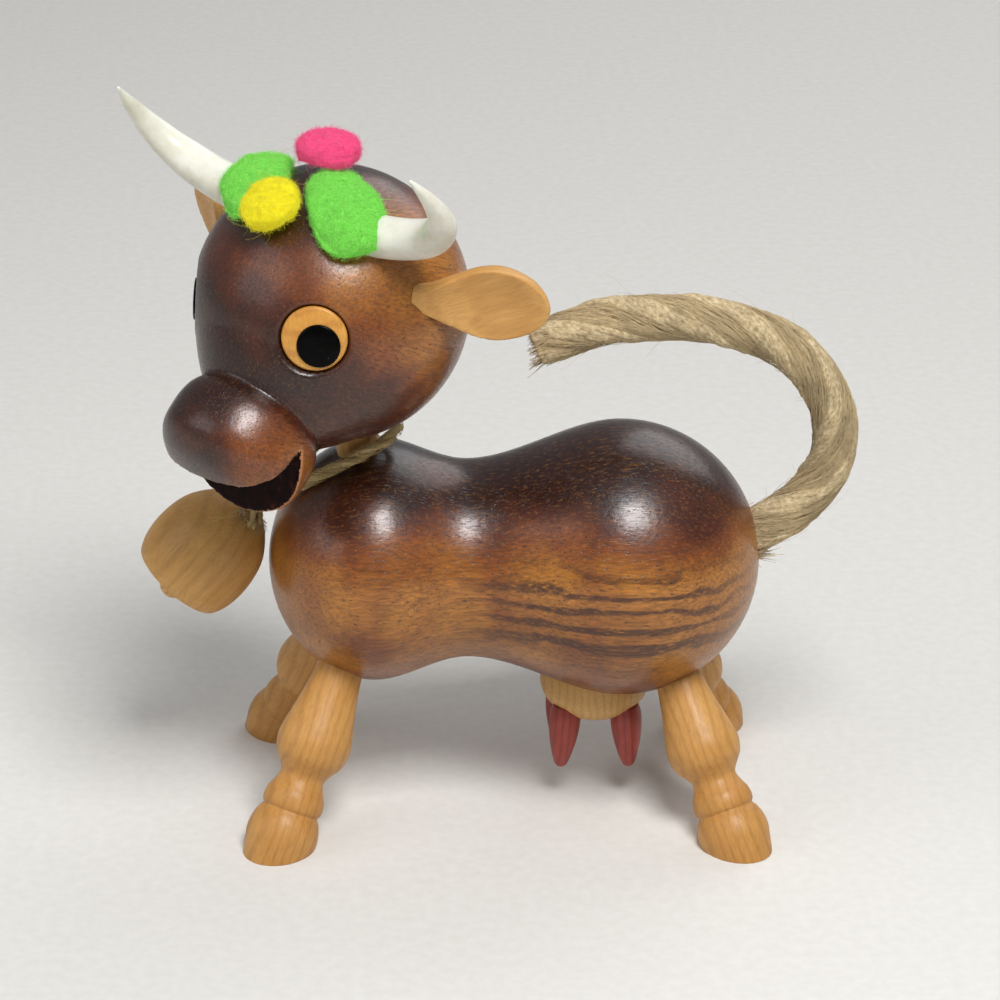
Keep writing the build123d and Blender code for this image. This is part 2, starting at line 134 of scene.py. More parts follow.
def body_radius(place):
    """Radius of the body at a place on its length."""
    half = body_length / 2
    if place < chest_place:
        return chest_radius * math.sqrt(max(0, 1 - ((chest_place - place) / (chest_place + half)) ** 2))
    if place < waist_place:
        share = (place - chest_place) / (waist_place - chest_place)
        return chest_radius + (waist_radius - chest_radius) * ease(share)
    if place < rump_place:
        share = (place - waist_place) / (rump_place - waist_place)
        return waist_radius + (rump_radius - waist_radius) * ease(share)
    return rump_radius * math.sqrt(max(0, 1 - ((place - rump_place) / (half - rump_place)) ** 2))


# Places of the head and of what sits on it: X looks forward, Y to the cow's left, Z up the neck
neck_base = (neck_place, 0, body_axis_height + body_radius(neck_place))
neck_turn = turn("Y", -lean_forward) @ turn("X", lean_left) @ turn("Z", 180 + head_turn)
neck_frame = move(*neck_base) @ neck_turn
head_frame = neck_frame @ move(0, 0, neck_show + head_radius)
muzzle_frame = head_frame @ turn("Y", muzzle_drop)
bell_axis = Vector((-math.sin(math.radians(bell_lean)), 0, -math.cos(math.radians(bell_lean))))
bell_frame = along(bell_top, bell_axis)

# The mouth's saw cuts meet at saw_corner; both ways lead from the gap square into the wood
saw_corner = Vector((mouth_corner[0], 0, mouth_corner[1]))
lip_way = Vector((-math.sin(math.radians(mouth_down)), 0, -math.cos(math.radians(mouth_down))))
roof_way = Vector((-math.sin(math.radians(mouth_up)), 0, math.cos(math.radians(mouth_up))))
hands = ((1, "left"), (-1, "right"))


def on_ball(azimuth, rise):
    """Place at the middle of the head whose X points out at the given angles."""
    return head_frame @ turn("Z", azimuth) @ turn("Y", -rise)


def only(*pieces):
    """Select these pieces and nothing else."""
    if bpy.context.object and bpy.context.object.mode != "OBJECT":
        bpy.ops.object.mode_set(mode="OBJECT")
    bpy.ops.object.select_all(action="DESELECT")
    for piece in pieces:
        piece.select_set(True)
    bpy.context.view_layer.objects.active = pieces[0] if pieces else None


def finish_with(piece, kind, **values):
    """Add a modifier and apply it."""
    only(piece)
    modifier = piece.modifiers.new(kind.title(), kind)
    for name, value in values.items():
        setattr(modifier, name, value)
    bpy.ops.object.modifier_apply(modifier=modifier.name)


def seat(piece, place, body, slot, material, *nodes):
    """Put a piece made on the bench where it belongs, in metres, and let it ride with its body."""
    piece.matrix_world = bench @ place
    only(piece)
    bpy.ops.object.transform_apply(location=True, rotation=True, scale=True)
    bpy.ops.object.shade_smooth()
    piece.data.materials.clear()
    piece.data.materials.append(material)
    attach(piece, body)
    if nodes:
        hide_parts(*nodes)
    return piece


def smooth_line(points, steps):
    """Smooth line through points, with a number of steps between each two."""
    line = []
    ends = [points[0], *points, points[-1]]
    for before, start, end, after in zip(ends, ends[1:], ends[2:], ends[3:]):
        for step in range(steps):
            share = step / steps
            line.append(tuple(
                ((2 * b) + (c - a) * share + (2 * a - 5 * b + 4 * c - d) * share ** 2
                 + (3 * b - a - 3 * c + d) * share ** 3) / 2
                for a, b, c, d in zip(before, start, end, after)))
    return [*line, tuple(points[-1])]


def arc(middle_place, reach, radius, start, end, steps):
    """Points of an elliptic arc about a place on the axis, in degrees."""
    points = []
    for step in range(steps + 1):
        angle = math.radians(start + (end - start) * step / steps)
        points.append((middle_place + reach * math.cos(angle), radius * math.sin(angle)))
    return points


def traced(name, outline, across=0.0):
    """Wire through an outline of (x, z) points, left in edit mode with all of it selected."""
    only()
    bpy.ops.mesh.primitive_plane_add(size=1)
    piece = bpy.context.object
    piece.name = name
    piece.data.name = name
    bpy.ops.object.mode_set(mode="EDIT")
    bpy.ops.mesh.merge(type="CENTER")
    bpy.ops.transform.translate(value=(outline[0][0], across, outline[0][1]))
    for start, end in zip(outline, outline[1:]):
        step = (end[0] - start[0], 0, end[1] - start[1])
        bpy.ops.mesh.extrude_region_move(TRANSFORM_OT_translate={"value": step})
    bpy.ops.mesh.select_all(action="SELECT")
    return piece


def face_out():
    """Turn all faces of the active piece outwards and leave edit mode."""
    bpy.ops.object.mode_set(mode="EDIT")
    bpy.ops.mesh.select_all(action="SELECT")
    bpy.ops.mesh.normals_make_consistent(inside=False)
    bpy.ops.object.mode_set(mode="OBJECT")


def lathe(name, outline, sides=96):
    """Turned piece: an outline of (along, radius) spun about X, closed at its poles."""
    piece = traced(name, outline)
    bpy.ops.mesh.spin(steps=sides, angle=2 * math.pi, center=(0, 0, 0), axis=(1, 0, 0))
    bpy.ops.mesh.select_all(action="SELECT")
    bpy.ops.mesh.remove_doubles(threshold=0.0005)
    face_out()
    return piece


def cut(piece, tool):
    """Cut a piece with a tool and put the tool away."""
    finish_with(piece, "BOOLEAN", operation="DIFFERENCE", object=tool, solver="EXACT")
    bpy.data.objects.remove(tool)


def block(name, corners, depth):
    """Straight block of a depth along Y from corners in the XZ plane."""
    piece = traced(name, corners, -depth / 2)
    bpy.ops.mesh.edge_face_add()
    bpy.ops.mesh.extrude_region_move(TRANSFORM_OT_translate={"value": (0, depth, 0)})
    face_out()
    return piece


def paint(red, green, blue):
    """Colour from screen values of 0 to 255."""
    return tuple(((value / 255 + 0.055) / 1.055) ** 2.4 if value > 10 else value / 255 / 12.92
                 for value in (red, green, blue)) + (1.0,)


def give(tree, socket, value):
    """Link a socket to another one, or set its value."""
    if isinstance(value, bpy.types.NodeSocket):
        tree.links.new(value, socket)
    else:
        socket.default_value = value


def feed(tree, node, **sockets):
    """Give a node's named inputs their values or links."""
    for name, value in sockets.items():
        give(tree, node.inputs[name.replace("_", " ")], value)


def put(tree, kind, settings=None, **sockets):
    """Add a node, with its settings and its sockets' values or links."""
    made = tree.nodes.new("ShaderNode" + kind)
    for name, value in (settings or {}).items():
        setattr(made, name, value)
    feed(tree, made, **sockets)
    return made


def mixed(tree, share, first, second, way="MIX"):
    """Two colours mixed by a share."""
    made = tree.nodes.new("ShaderNodeMix")
    made.data_type = "RGBA"
    made.blend_type = way
    for index, value in ((0, share), (6, first), (7, second)):
        give(tree, made.inputs[index], value)
    return made.outputs[2]


def maths(tree, operation, first, second=0.0, clamp=False):
    """Result of one operation on two values."""
    made = tree.nodes.new("ShaderNodeMath")
    made.operation = operation
    made.use_clamp = clamp
    for socket, value in zip(made.inputs, (first, second)):
        give(tree, socket, value)
    return made.outputs[0]


def times(tree, first, second, clamp=False):
    """Product of two values."""
    return maths(tree, "MULTIPLY", first, second, clamp)


def stretched(tree, vector, scale):
    """Coordinates with a scale of their own along each axis."""
    made = put(tree, "VectorMath", {"operation": "MULTIPLY"})
    for socket, value in zip(made.inputs, (vector, scale)):
        give(tree, socket, value)
    return made.outputs[0]


def mottle(tree, vector, scale, detail, **sockets):
    """Soft noise over coordinates in millimetres, as a value about 0.5."""
    return put(tree, "TexNoise", Vector=vector, Scale=scale, Detail=detail, **sockets).outputs["Fac"]


def graded(tree, value, *stops):
    """Colour ramp over a value; each stop is a place and a colour or a grey."""
    made = put(tree, "ValToRGB", Fac=value)
    ramp = made.color_ramp
    while len(ramp.elements) < len(stops):
        ramp.elements.new(0.5)
    for element, (place, colour) in zip(ramp.elements, stops):
        element.position = place
        element.color = colour if isinstance(colour, tuple) else (colour, colour, colour, 1)
    return made.outputs["Color"]


def effect(name, inputs, outputs):
    """Empty shader node group with named inputs and outputs."""
    tree = bpy.data.node_groups.new(name, "ShaderNodeTree")
    for label, kind, value in inputs:
        socket = tree.interface.new_socket(label, in_out="INPUT", socket_type="NodeSocket" + kind)
        if value is not None:
            socket.default_value = value
    for label, kind in outputs:
        tree.interface.new_socket(label, in_out="OUTPUT", socket_type="NodeSocket" + kind)
    return tree, tree.nodes.new("NodeGroupInput").outputs, tree.nodes.new("NodeGroupOutput").inputs


def use(tree, group, **sockets):
    """Place an effect in a material and return what it puts out."""
    return put(tree, "Group", {"node_tree": group}, **sockets).outputs


def material(name, place=None, **sockets):
    """Material with a Principled shader, and coordinates in millimetres in a piece's own place."""
    made = bpy.data.materials.new(name)
    made.use_nodes = True
    tree = made.node_tree
    shader = tree.nodes["Principled BSDF"]
    feed(tree, shader, **sockets)
    inverse = (bench @ (place or Matrix())).inverted()
    turning = inverse.to_3x3().normalized().to_euler("XYZ")
    coordinates = put(tree, "TexCoord").outputs["Object"]
    mapping = put(tree, "Mapping", Vector=coordinates)
    mapping.inputs["Location"].default_value = inverse.translation
    mapping.inputs["Rotation"].default_value = turning
    mapping.inputs["Scale"].default_value = (1 / MM,) * 3
    return made, tree, shader, mapping.outputs[0]


def measured(tree, vector, frame_place, place, direction, origin=(0, 0, 0)):
    """Distance in millimetres along a direction of one place, from coordinates in another."""
    turned_way = (place.inverted() @ frame_place).to_3x3() @ Vector(direction)
    start = place.inverted() @ (frame_place @ Vector(origin))
    dot = put(tree, "VectorMath", {"operation": "DOT_PRODUCT"})
    tree.links.new(vector, dot.inputs[0])
    dot.inputs[1].default_value = turned_way
    return maths(tree, "SUBTRACT", dot.outputs["Value"], turned_way.dot(start))


def rising(tree, value, start, end):
    """Share of the way from start to end, held between 0 and 1."""
    made = put(tree, "MapRange", {"interpolation_type": "SMOOTHSTEP"}, Value=value)
    made.inputs["From Min"].default_value = start
    made.inputs["From Max"].default_value = end
    return made.outputs[0]


def link_bump(tree, shader, height, strength, distance):
    """Relief from a height in millimetres."""
    bump = put(tree, "Bump", Height=height, Strength=strength, Distance=distance * MM)
    feed(tree, shader, Normal=bump.outputs[0])


def make_grain():
    """Wood grain along X: growth bands, fibre and pores."""
    tree, given, result = effect("Wood grain", [
        ("Vector", "Vector", None), ("Band Size", "Float", 3.0), ("Sway", "Float", 2.0),
        ("Fibre Size", "Float", 0.4), ("Pore Size", "Float", 0.35), ("Pore Share", "Float", 0.36),
    ], [("Bands", "Float"), ("Fibre", "Float"), ("Pores", "Float"), ("Clouds", "Float")])
    fibre_stretch, pore_stretch, pore_edge = (0.09, 1, 1), (0.22, 1, 1), 14.0
    long = stretched(tree, given["Vector"], fibre_stretch)
    sway = mottle(tree, long, 0.11, 3.0, Roughness=0.55)
    height = maths(tree, "DIVIDE", put(tree, "SeparateXYZ", Vector=long).outputs["Z"], given["Band Size"])
    swayed = maths(tree, "ADD", times(tree, sway, given["Sway"]), height)
    wave = maths(tree, "SINE", times(tree, swayed, 2 * math.pi))
    give(tree, result["Bands"], maths(tree, "ADD", times(tree, wave, 0.5), 0.5))
    fibre_scale = maths(tree, "DIVIDE", 1.0, given["Fibre Size"])
    give(tree, result["Fibre"], mottle(tree, long, fibre_scale, 5.0, Roughness=0.65))
    pore_scale = maths(tree, "DIVIDE", 1.0, given["Pore Size"])
    pore = mottle(tree, stretched(tree, given["Vector"], pore_stretch), pore_scale, 2.0)
    edge = maths(tree, "SUBTRACT", given["Pore Share"], pore)
    give(tree, result["Pores"], times(tree, edge, pore_edge, clamp=True))
    give(tree, result["Clouds"], mottle(tree, given["Vector"], 0.07, 3.0))
    return tree


def make_specks():
    """Scattered specks of dust and lint."""
    tree, given, result = effect("Dust specks", [
        ("Vector", "Vector", None), ("Spacing", "Float", 1.5), ("Size", "Float", 0.08),
    ], [("Mask", "Float")])
    scale = maths(tree, "DIVIDE", 1.0, given["Spacing"])
    cells = put(tree, "TexVoronoi", Vector=given["Vector"], Scale=scale, Randomness=1.0)
    near = times(tree, cells.outputs["Distance"], given["Spacing"])
    inside = maths(tree, "LESS_THAN", near, given["Size"])
    chance = put(tree, "SeparateColor", Color=cells.outputs["Color"]).outputs[0]
    bare_share = 0.45
    kept = maths(tree, "GREATER_THAN", chance, bare_share)
    give(tree, result["Mask"], times(tree, inside, kept))
    return tree


def make_nap():
    """Nap of felt: clumps, matted fibre and a height."""
    tree, given, result = effect("Felt nap", [
        ("Vector", "Vector", None), ("Clump Size", "Float", 0.9), ("Fibre Size", "Float", 0.16),
    ], [("Clumps", "Float"), ("Fibre", "Float"), ("Height", "Float")])
    clump_scale = maths(tree, "DIVIDE", 1.0, given["Clump Size"])
    fibre_scale = maths(tree, "DIVIDE", 1.0, given["Fibre Size"])
    clumps = mottle(tree, given["Vector"], clump_scale, 3.0, Distortion=1.2)
    fibre = mottle(tree, given["Vector"], fibre_scale, 4.0, Distortion=2.5)
    height = maths(tree, "ADD", clumps, fibre)
    for label, value in (("Clumps", clumps), ("Fibre", fibre), ("Height", height)):
        give(tree, result[label], value)
    return tree


grain = make_grain()
specks = make_specks()
nap = make_nap()


def stained_wood(name, place, tone, streaks=None, flecked=0.38):
    """Dark stained wood under a satin lacquer; tone gives the share of gold from the coordinates."""
    made, tree, shader, vector = material(name, place, Roughness=0.3, Specular_IOR_Level=0.55,
                                          Coat_Weight=0.12, Coat_Roughness=0.12)
    wood = use(tree, grain, Vector=vector, Band_Size=3.6, Sway=2.6, Fibre_Size=0.42, Pore_Size=0.26,
               Pore_Share=0.38)
    patchy = times(tree, maths(tree, "SUBTRACT", wood["Clouds"], 0.5), 1.5)
    gold = maths(tree, "ADD", tone(tree, vector), patchy, clamp=True)
    base = graded(tree, gold, (0.0, paint(48, 20, 12)), (0.3, paint(90, 40, 19)),
                  (0.62, paint(138, 74, 30)), (1.0, paint(186, 120, 46)))
    fibre = graded(tree, wood["Fibre"], (0.3, 0.3), (0.5, 0.66), (0.68, 1.0))
    colour = mixed(tree, 0.9, base, fibre, "MULTIPLY")
    fleck_stretch = (0.55, 2.6, 2.6)
    flecks = mottle(tree, stretched(tree, vector, fleck_stretch), 1.0, 3.0, Roughness=0.6)
    light = times(tree, graded(tree, flecks, (0.54, 0.0), (0.7, flecked)), wood["Fibre"])
    colour = mixed(tree, light, colour, paint(190, 132, 62))
    if streaks:
        bands = graded(tree, wood["Bands"], (0.5, 0.0), (0.86, 1.0))
        ragged = times(tree, bands, graded(tree, wood["Fibre"], (0.5, 1.0), (0.7, 0.25)))
        colour = mixed(tree, times(tree, ragged, streaks(tree, vector)), colour, paint(50, 20, 14))
    colour = mixed(tree, times(tree, wood["Pores"], 0.7), colour, paint(32, 14, 10))
    dust = use(tree, specks, Vector=vector, Spacing=2.4, Size=0.07)["Mask"]
    colour = mixed(tree, times(tree, dust, 0.4), colour, paint(205, 185, 165))
    feed(tree, shader, Base_Color=colour, Roughness=graded(tree, wood["Fibre"], (0.3, 0.4), (0.7, 0.24)))
    peel = mottle(tree, vector, 0.9, 2.0)
    relief = maths(tree, "SUBTRACT", times(tree, wood["Fibre"], 0.8), wood["Pores"])
    link_bump(tree, shader, maths(tree, "ADD", relief, times(tree, peel, 1.6)), 0.5, 0.06)
    return made


def body_tone(tree, vector):
    """Gold on the flanks, dark on the back and below."""
    up = put(tree, "SeparateXYZ", Vector=vector).outputs["Z"]
    below = times(tree, rising(tree, up, -24, -9), 0.6)
    return times(tree, rising(tree, up, 19, 1), maths(tree, "ADD", below, 0.36))


def body_streaks(tree, vector):
    """Dark heartwood streaks at the waist and on the rump."""
    split = put(tree, "SeparateXYZ", Vector=vector)
    lengthwise, height = split.outputs["X"], split.outputs["Z"]
    along_body = times(tree, rising(tree, lengthwise, -14, 4), rising(tree, lengthwise, 46, 26))
    on_flank = times(tree, rising(tree, height, -14, -6), rising(tree, height, 9, 4))
    return times(tree, times(tree, along_body, on_flank), 0.8)


def natural_wood(name, place, light, mid, dark, bands=0.5, band_size=1.6, gloss=0.2, fibre_size=0.35):
    """Pale oiled wood with fine grain."""
    made, tree, shader, vector = material(
        name, place, Roughness=0.5, Coat_Weight=gloss, Coat_Roughness=0.3, Specular_IOR_Level=0.4)
    wood = use(tree, grain, Vector=vector, Band_Size=band_size, Sway=2.0, Fibre_Size=fibre_size,
               Pore_Size=0.22, Pore_Share=0.33)
    base = graded(tree, wood["Clouds"], (0.32, mid), (0.68, light))
    line = graded(tree, wood["Bands"], (0.55, 0.0), (0.95, 1.0))
    colour = mixed(tree, times(tree, line, bands), base, dark)
    fibre = graded(tree, wood["Fibre"], (0.3, 0.72), (0.55, 0.95), (0.75, 1.0))
    colour = mixed(tree, 0.8, colour, fibre, "MULTIPLY")
    colour = mixed(tree, times(tree, wood["Pores"], 0.35), colour, dark)
    feed(tree, shader, Base_Color=colour, Roughness=graded(tree, wood["Fibre"], (0.3, 0.62), (0.7, 0.44)))
    relief = maths(tree, "SUBTRACT", times(tree, wood["Fibre"], 0.5), wood["Pores"])
    link_bump(tree, shader, relief, 0.3, 0.04)
    return made


def felt_material(name, deep, mid, bright, glow=1.0):
    """Needled felt, or the loose hairs on it."""
    # Besides its dyed colour the felt glows faintly in that same colour (emission at 0.2): painted light.
    made, tree, shader, vector = material(name, Roughness=0.9, Sheen_Weight=0.3, Sheen_Roughness=0.5,
                                          Sheen_Tint=bright, Specular_IOR_Level=0.1,
                                          Emission_Strength=0.2)
    pile = use(tree, nap, Vector=vector)
    colour = graded(tree, pile["Fibre"], (0.3, deep), (0.46, mid), (0.64, bright))
    shade = graded(tree, pile["Clumps"], (0.3, 0.78 * glow), (0.6, glow))
    dyed_and_glow = mixed(tree, 0.7, colour, shade, "MULTIPLY")
    feed(tree, shader, Base_Color=dyed_and_glow, Emission_Color=dyed_and_glow)
    link_bump(tree, shader, pile["Height"], 0.9, 0.3)
    return made


def bast_material(name, deep, mid, bright, stretch):
    """Dry plant fibre that follows a strand by its own map: across in turns, along in metres."""
    made, tree, shader, vector = material(name, Roughness=0.85, Specular_IOR_Level=0.25)
    chart = put(tree, "UVMap", {"uv_map": "strand"}).outputs[0]
    fibres_round = 26
    fibre = mottle(tree, stretched(tree, chart, (fibres_round, stretch, 1)), 1.0, 5.0, Roughness=0.7)
    patch = mottle(tree, vector, 0.25, 3.0)
    colour = graded(tree, fibre, (0.3, deep), (0.48, mid), (0.68, bright))
    worn = graded(tree, patch, (0.35, 0.72), (0.6, 1.0))
    feed(tree, shader, Base_Color=mixed(tree, 0.75, colour, worn, "MULTIPLY"))
    link_bump(tree, shader, fibre, 0.7, 0.2)
    return made


def plain_effects():
    """The materials that aren't wood, felt or fibre."""
    horn, tree, shader, vector = material("Pale horn", Roughness=0.38, Coat_Weight=0.25, Coat_Roughness=0.25,
                                          Subsurface_Weight=0.25, Subsurface_Scale=0.002,
                                          Subsurface_Radius=(1.0, 0.8, 0.55))
    cloud = mottle(tree, vector, 0.18, 3.0)
    streak = mottle(tree, vector, 1.4, 4.0, Distortion=1.0)
    base = graded(tree, cloud, (0.35, paint(214, 210, 192)), (0.6, paint(230, 228, 216)))
    veins = graded(tree, streak, (0.35, 0.92), (0.6, 1.0))
    feed(tree, shader, Base_Color=mixed(tree, 0.6, base, veins, "MULTIPLY"),
         Roughness=graded(tree, streak, (0.3, 0.5), (0.7, 0.3)))
    link_bump(tree, shader, streak, 0.25, 0.06)

    pupil, tree, shader, vector = material("Black enamel", Roughness=0.3, Specular_IOR_Level=0.06)
    smear = mottle(tree, vector, 0.6, 4.0)
    dust = use(tree, specks, Vector=vector, Spacing=1.1, Size=0.05)["Mask"]
    base = graded(tree, smear, (0.3, paint(3, 3, 3)), (0.7, paint(8, 8, 8)))
    feed(tree, shader, Base_Color=mixed(tree, times(tree, dust, 0.35), base, paint(150, 150, 145)),
         Roughness=graded(tree, smear, (0.3, 0.14), (0.7, 0.28)))

    glue, tree, shader, vector = material("Clear glue", Roughness=0.15, Coat_Weight=0.3,
                                          Transmission_Weight=0.85, IOR=1.4)
    haze = mottle(tree, vector, 0.9, 3.0)
    tint = graded(tree, haze, (0.3, paint(188, 166, 122)), (0.7, paint(226, 210, 176)))
    feed(tree, shader, Base_Color=tint, Roughness=graded(tree, haze, (0.3, 0.18), (0.7, 0.4)))

    wire, tree, shader, vector = material("Bright wire", Metallic=1.0, Roughness=0.35)
    drawn = mottle(tree, vector, 3.0, 3.0)
    metal = graded(tree, drawn, (0.3, paint(150, 150, 150)), (0.7, paint(196, 196, 192)))
    feed(tree, shader, Base_Color=metal, Roughness=graded(tree, drawn, (0.3, 0.28), (0.7, 0.45)))
    return horn, pupil, glue, wire


horn_material, pupil_material, glue_material, wire_material = plain_effects()
hemp_material = bast_material("Hemp", paint(140, 116, 84), paint(190, 168, 128), paint(226, 210, 176), 1200)
jute_material = bast_material("Jute", paint(158, 128, 78), paint(204, 178, 122), paint(236, 216, 164), 2000)


def make_body():
    """Turned body with its chest, waist and rump."""
    half = body_length / 2
    outline = arc(chest_place, chest_place + half, chest_radius, 180, 90, 26)
    span = rump_place - chest_place
    places = [chest_place + span * step / 40 for step in range(1, 40)]
    outline += [(place, body_radius(place)) for place in places]
    outline += arc(rump_place, half - rump_place, rump_radius, 90, 0, 26)
    outline[0] = (-half, 0)
    outline[-1] = (half, 0)
    place = move(0, 0, body_axis_height)
    wood = stained_wood("Stained body wood", place, body_tone, body_streaks)
    seat(lathe("cow_body", outline, 144), place, "torso", "stained_wood", wood, "body")


def make_leg(fore, side, name):
    """Turned leg with hoof, groove, pastern, ankle, knee and thigh, sanded flat at the sole."""
    place = hip_places[fore]
    drop = math.sqrt(body_radius(place) ** 2 - hip_spread ** 2)
    hip = Vector((place, side * hip_spread, body_axis_height - drop))
    inward = -side * math.tan(math.radians(leg_splays[fore]))
    upward = Vector((-fore * math.tan(math.radians(leg_lean)), inward, 1)).normalized()
    run = hip.z / upward.z
    # Shares of the way from the floor to the hip, with the radius there
    hoof = [(-0.13, 4.8), (0.0, 5.58), (0.08, 6.0), (0.15, 5.72), (0.205, 5.05)]
    groove = [(0.214, 4.78), (0.222, 4.66), (0.23, 4.82)]
    shank = [(0.24, 5.0), (0.27, 5.1), (0.315, 4.86), (0.36, 4.2), (0.41, 3.75), (0.455, 4.4), (0.51, 5.58),
             (0.56, 6.05), (0.61, 6.2), (0.68, 5.85), (0.75, 5.33), (0.87, 4.55), (1.0, 3.95), (1.08, 3.9)]
    outline = smooth_line([(run * at, radius) for at, radius in hoof], 4)[:-1]
    outline += [(run * at, radius) for at, radius in groove]
    outline += smooth_line([(run * at, radius) for at, radius in shank], 4)
    outline = [(outline[0][0], 0), *outline, (outline[-1][0], 0)]
    leg = lathe(f"{name}_wood", outline, 72)
    frame_place = along(hip - upward * run, upward)
    wood = natural_wood(f"Pale wood {name}", frame_place, paint(206, 154, 84), paint(188, 132, 62),
                        paint(156, 98, 44), 0.3, 1.5, 0.15)
    seat(leg, frame_place, "torso", "light_wood", wood, name)
    bpy.ops.object.mode_set(mode="EDIT")
    bpy.ops.mesh.select_all(action="SELECT")
    bpy.ops.mesh.bisect(plane_co=(0, 0, 0), plane_no=(0, 0, 1), use_fill=True, clear_inner=True)
    bpy.ops.object.mode_set(mode="OBJECT")
    finish_with(leg, "BEVEL", width=0.35 * MM, segments=2, limit_method="ANGLE",
                angle_limit=math.radians(55))
    bpy.ops.object.shade_smooth_by_angle(angle=math.radians(50))
    for vertex in leg.data.vertices:
        vertex.co.z = max(0.0, vertex.co.z)


def make_udder():
    """Turned bowl with four tapered teats."""
    place, radius, drop = 14.0, 9.2, 6.6
    teat_reach, teat_spread, teat_splay, teat_root = 5.1, 4.5, 4, -1.6
    belly = body_axis_height - body_radius(place)
    frame_place = along((place, 0, belly), (0, 0, -1))
    outline = [(-drop, 0), (-drop, radius - 0.4), (-drop + 0.4, radius), *arc(0, drop, radius, 90, 0, 20)]
    outline[-1] = (drop, 0)
    wood = natural_wood("Pale udder wood", frame_place @ turn("Z", 90), paint(214, 170, 104),
                        paint(196, 148, 80), paint(164, 112, 58), 0.3, 1.2, 0.12)
    seat(lathe("udder_wood", outline, 72), frame_place, "torso", "light_wood", wood, "udder")
    stations = [(teat_root, 2.2), (0, 2.6), (2.2, 2.6), (4.6, 2.3), (6.8, 1.8), (8.4, 1.34),
                (9.4, 0.85), (9.9, 0)]
    for fore, end in ((-1, "front"), (1, "rear")):
        for side, hand in ((-1, "left"), (1, "right")):
            out_long, out_cross = fore * teat_reach, side * teat_spread
            share = math.hypot(out_long, out_cross) / radius
            top = (place + out_long, out_cross, belly - drop * math.sqrt(1 - share ** 2))
            splay = math.sin(math.radians(teat_splay))
            teat_place = along(top, (fore * splay, side * splay, -1))
            name = f"teat_{end}_{hand}"
            red = natural_wood(f"Red wood {name}", teat_place, paint(178, 76, 60), paint(150, 56, 46),
                               paint(98, 34, 30), 0.4, 1.2, 0.25)
            outline = [(teat_root, 0), *smooth_line(stations, 5)]
            seat(lathe(f"{name}_wood", outline, 40), teat_place, "torso", "red_wood", red, name)


def make_neck():
    """Dowel between body and head."""
    place = neck_frame @ turn("Y", -90)
    tenon = 6
    outline = [(-tenon, 0), (-tenon, neck_radius), (neck_show + tenon, neck_radius), (neck_show + tenon, 0)]
    wood = natural_wood("Pale neck wood", place, paint(214, 168, 100), paint(190, 140, 76),
                        paint(150, 100, 48))
    dowel = lathe("neck_dowel_wood", outline, 64)
    finish_with(dowel, "BEVEL", width=0.3, segments=3, limit_method="ANGLE", angle_limit=math.radians(50))
    seat(dowel, place, "torso", "light_wood", wood, "neck_dowel")


def head_shape():
    """Ball and muzzle turned on one axis, with a sawn mouth and recesses for the eyes."""
    outline = arc(0, head_radius, head_radius, 180, cheek_angle, 60)
    outline[0] = (-head_radius, 0)
    cheek = outline[-1]
    slope = Vector((cheek[1], -cheek[0])).normalized()
    reach = math.hypot(crease[0] - cheek[0], crease[1] - cheek[1])
    steps, fullness = 9, 0.25
    for step in range(1, steps):
        share = step / steps
        bend = reach * share * (1 - share) * fullness
        outline.append((cheek[0] + (crease[0] - cheek[0]) * share + slope.y * bend * -0.4,
                        cheek[1] + (crease[1] - cheek[1]) * share + slope.x * bend * 0.4))
    span = muzzle_end - crease[0]
    shares = ((0.17, 0.965), (0.41, 1.0), (0.68, 0.955), (0.89, 0.72), (0.98, 0.38))
    stations = [crease, *((crease[0] + span * at, muzzle_radius * size) for at, size in shares)]
    outline += smooth_line([*stations, (muzzle_end, 0)], 8)
    head = lathe("cow_head", outline, 160)

    beyond = 24.0
    end = mouth_corner[0] + beyond
    up = mouth_corner[1] + beyond * math.tan(math.radians(mouth_up))
    down = mouth_corner[1] - beyond * math.tan(math.radians(mouth_down))
    cut(head, block("mouth saw", [mouth_corner, (end, up), (end, down)], 50))
    to_muzzle = (head_frame.inverted() @ muzzle_frame).inverted()
    recess = [(19.89, 0), (19.89, 5.4), (20.94, 5.4), (22.3, 6.5), (25, 6.5), (25, 0)]
    for azimuth, rise in eye_angles.values():
        drill = lathe("eye drill", recess, 64)
        drill.matrix_world = to_muzzle @ turn("Z", azimuth) @ turn("Y", -rise)
        cut(head, drill)
    finish_with(head, "REMESH", mode="VOXEL", voxel_size=0.34)
    finish_with(head, "SMOOTH", factor=0.5, iterations=4)
    return head


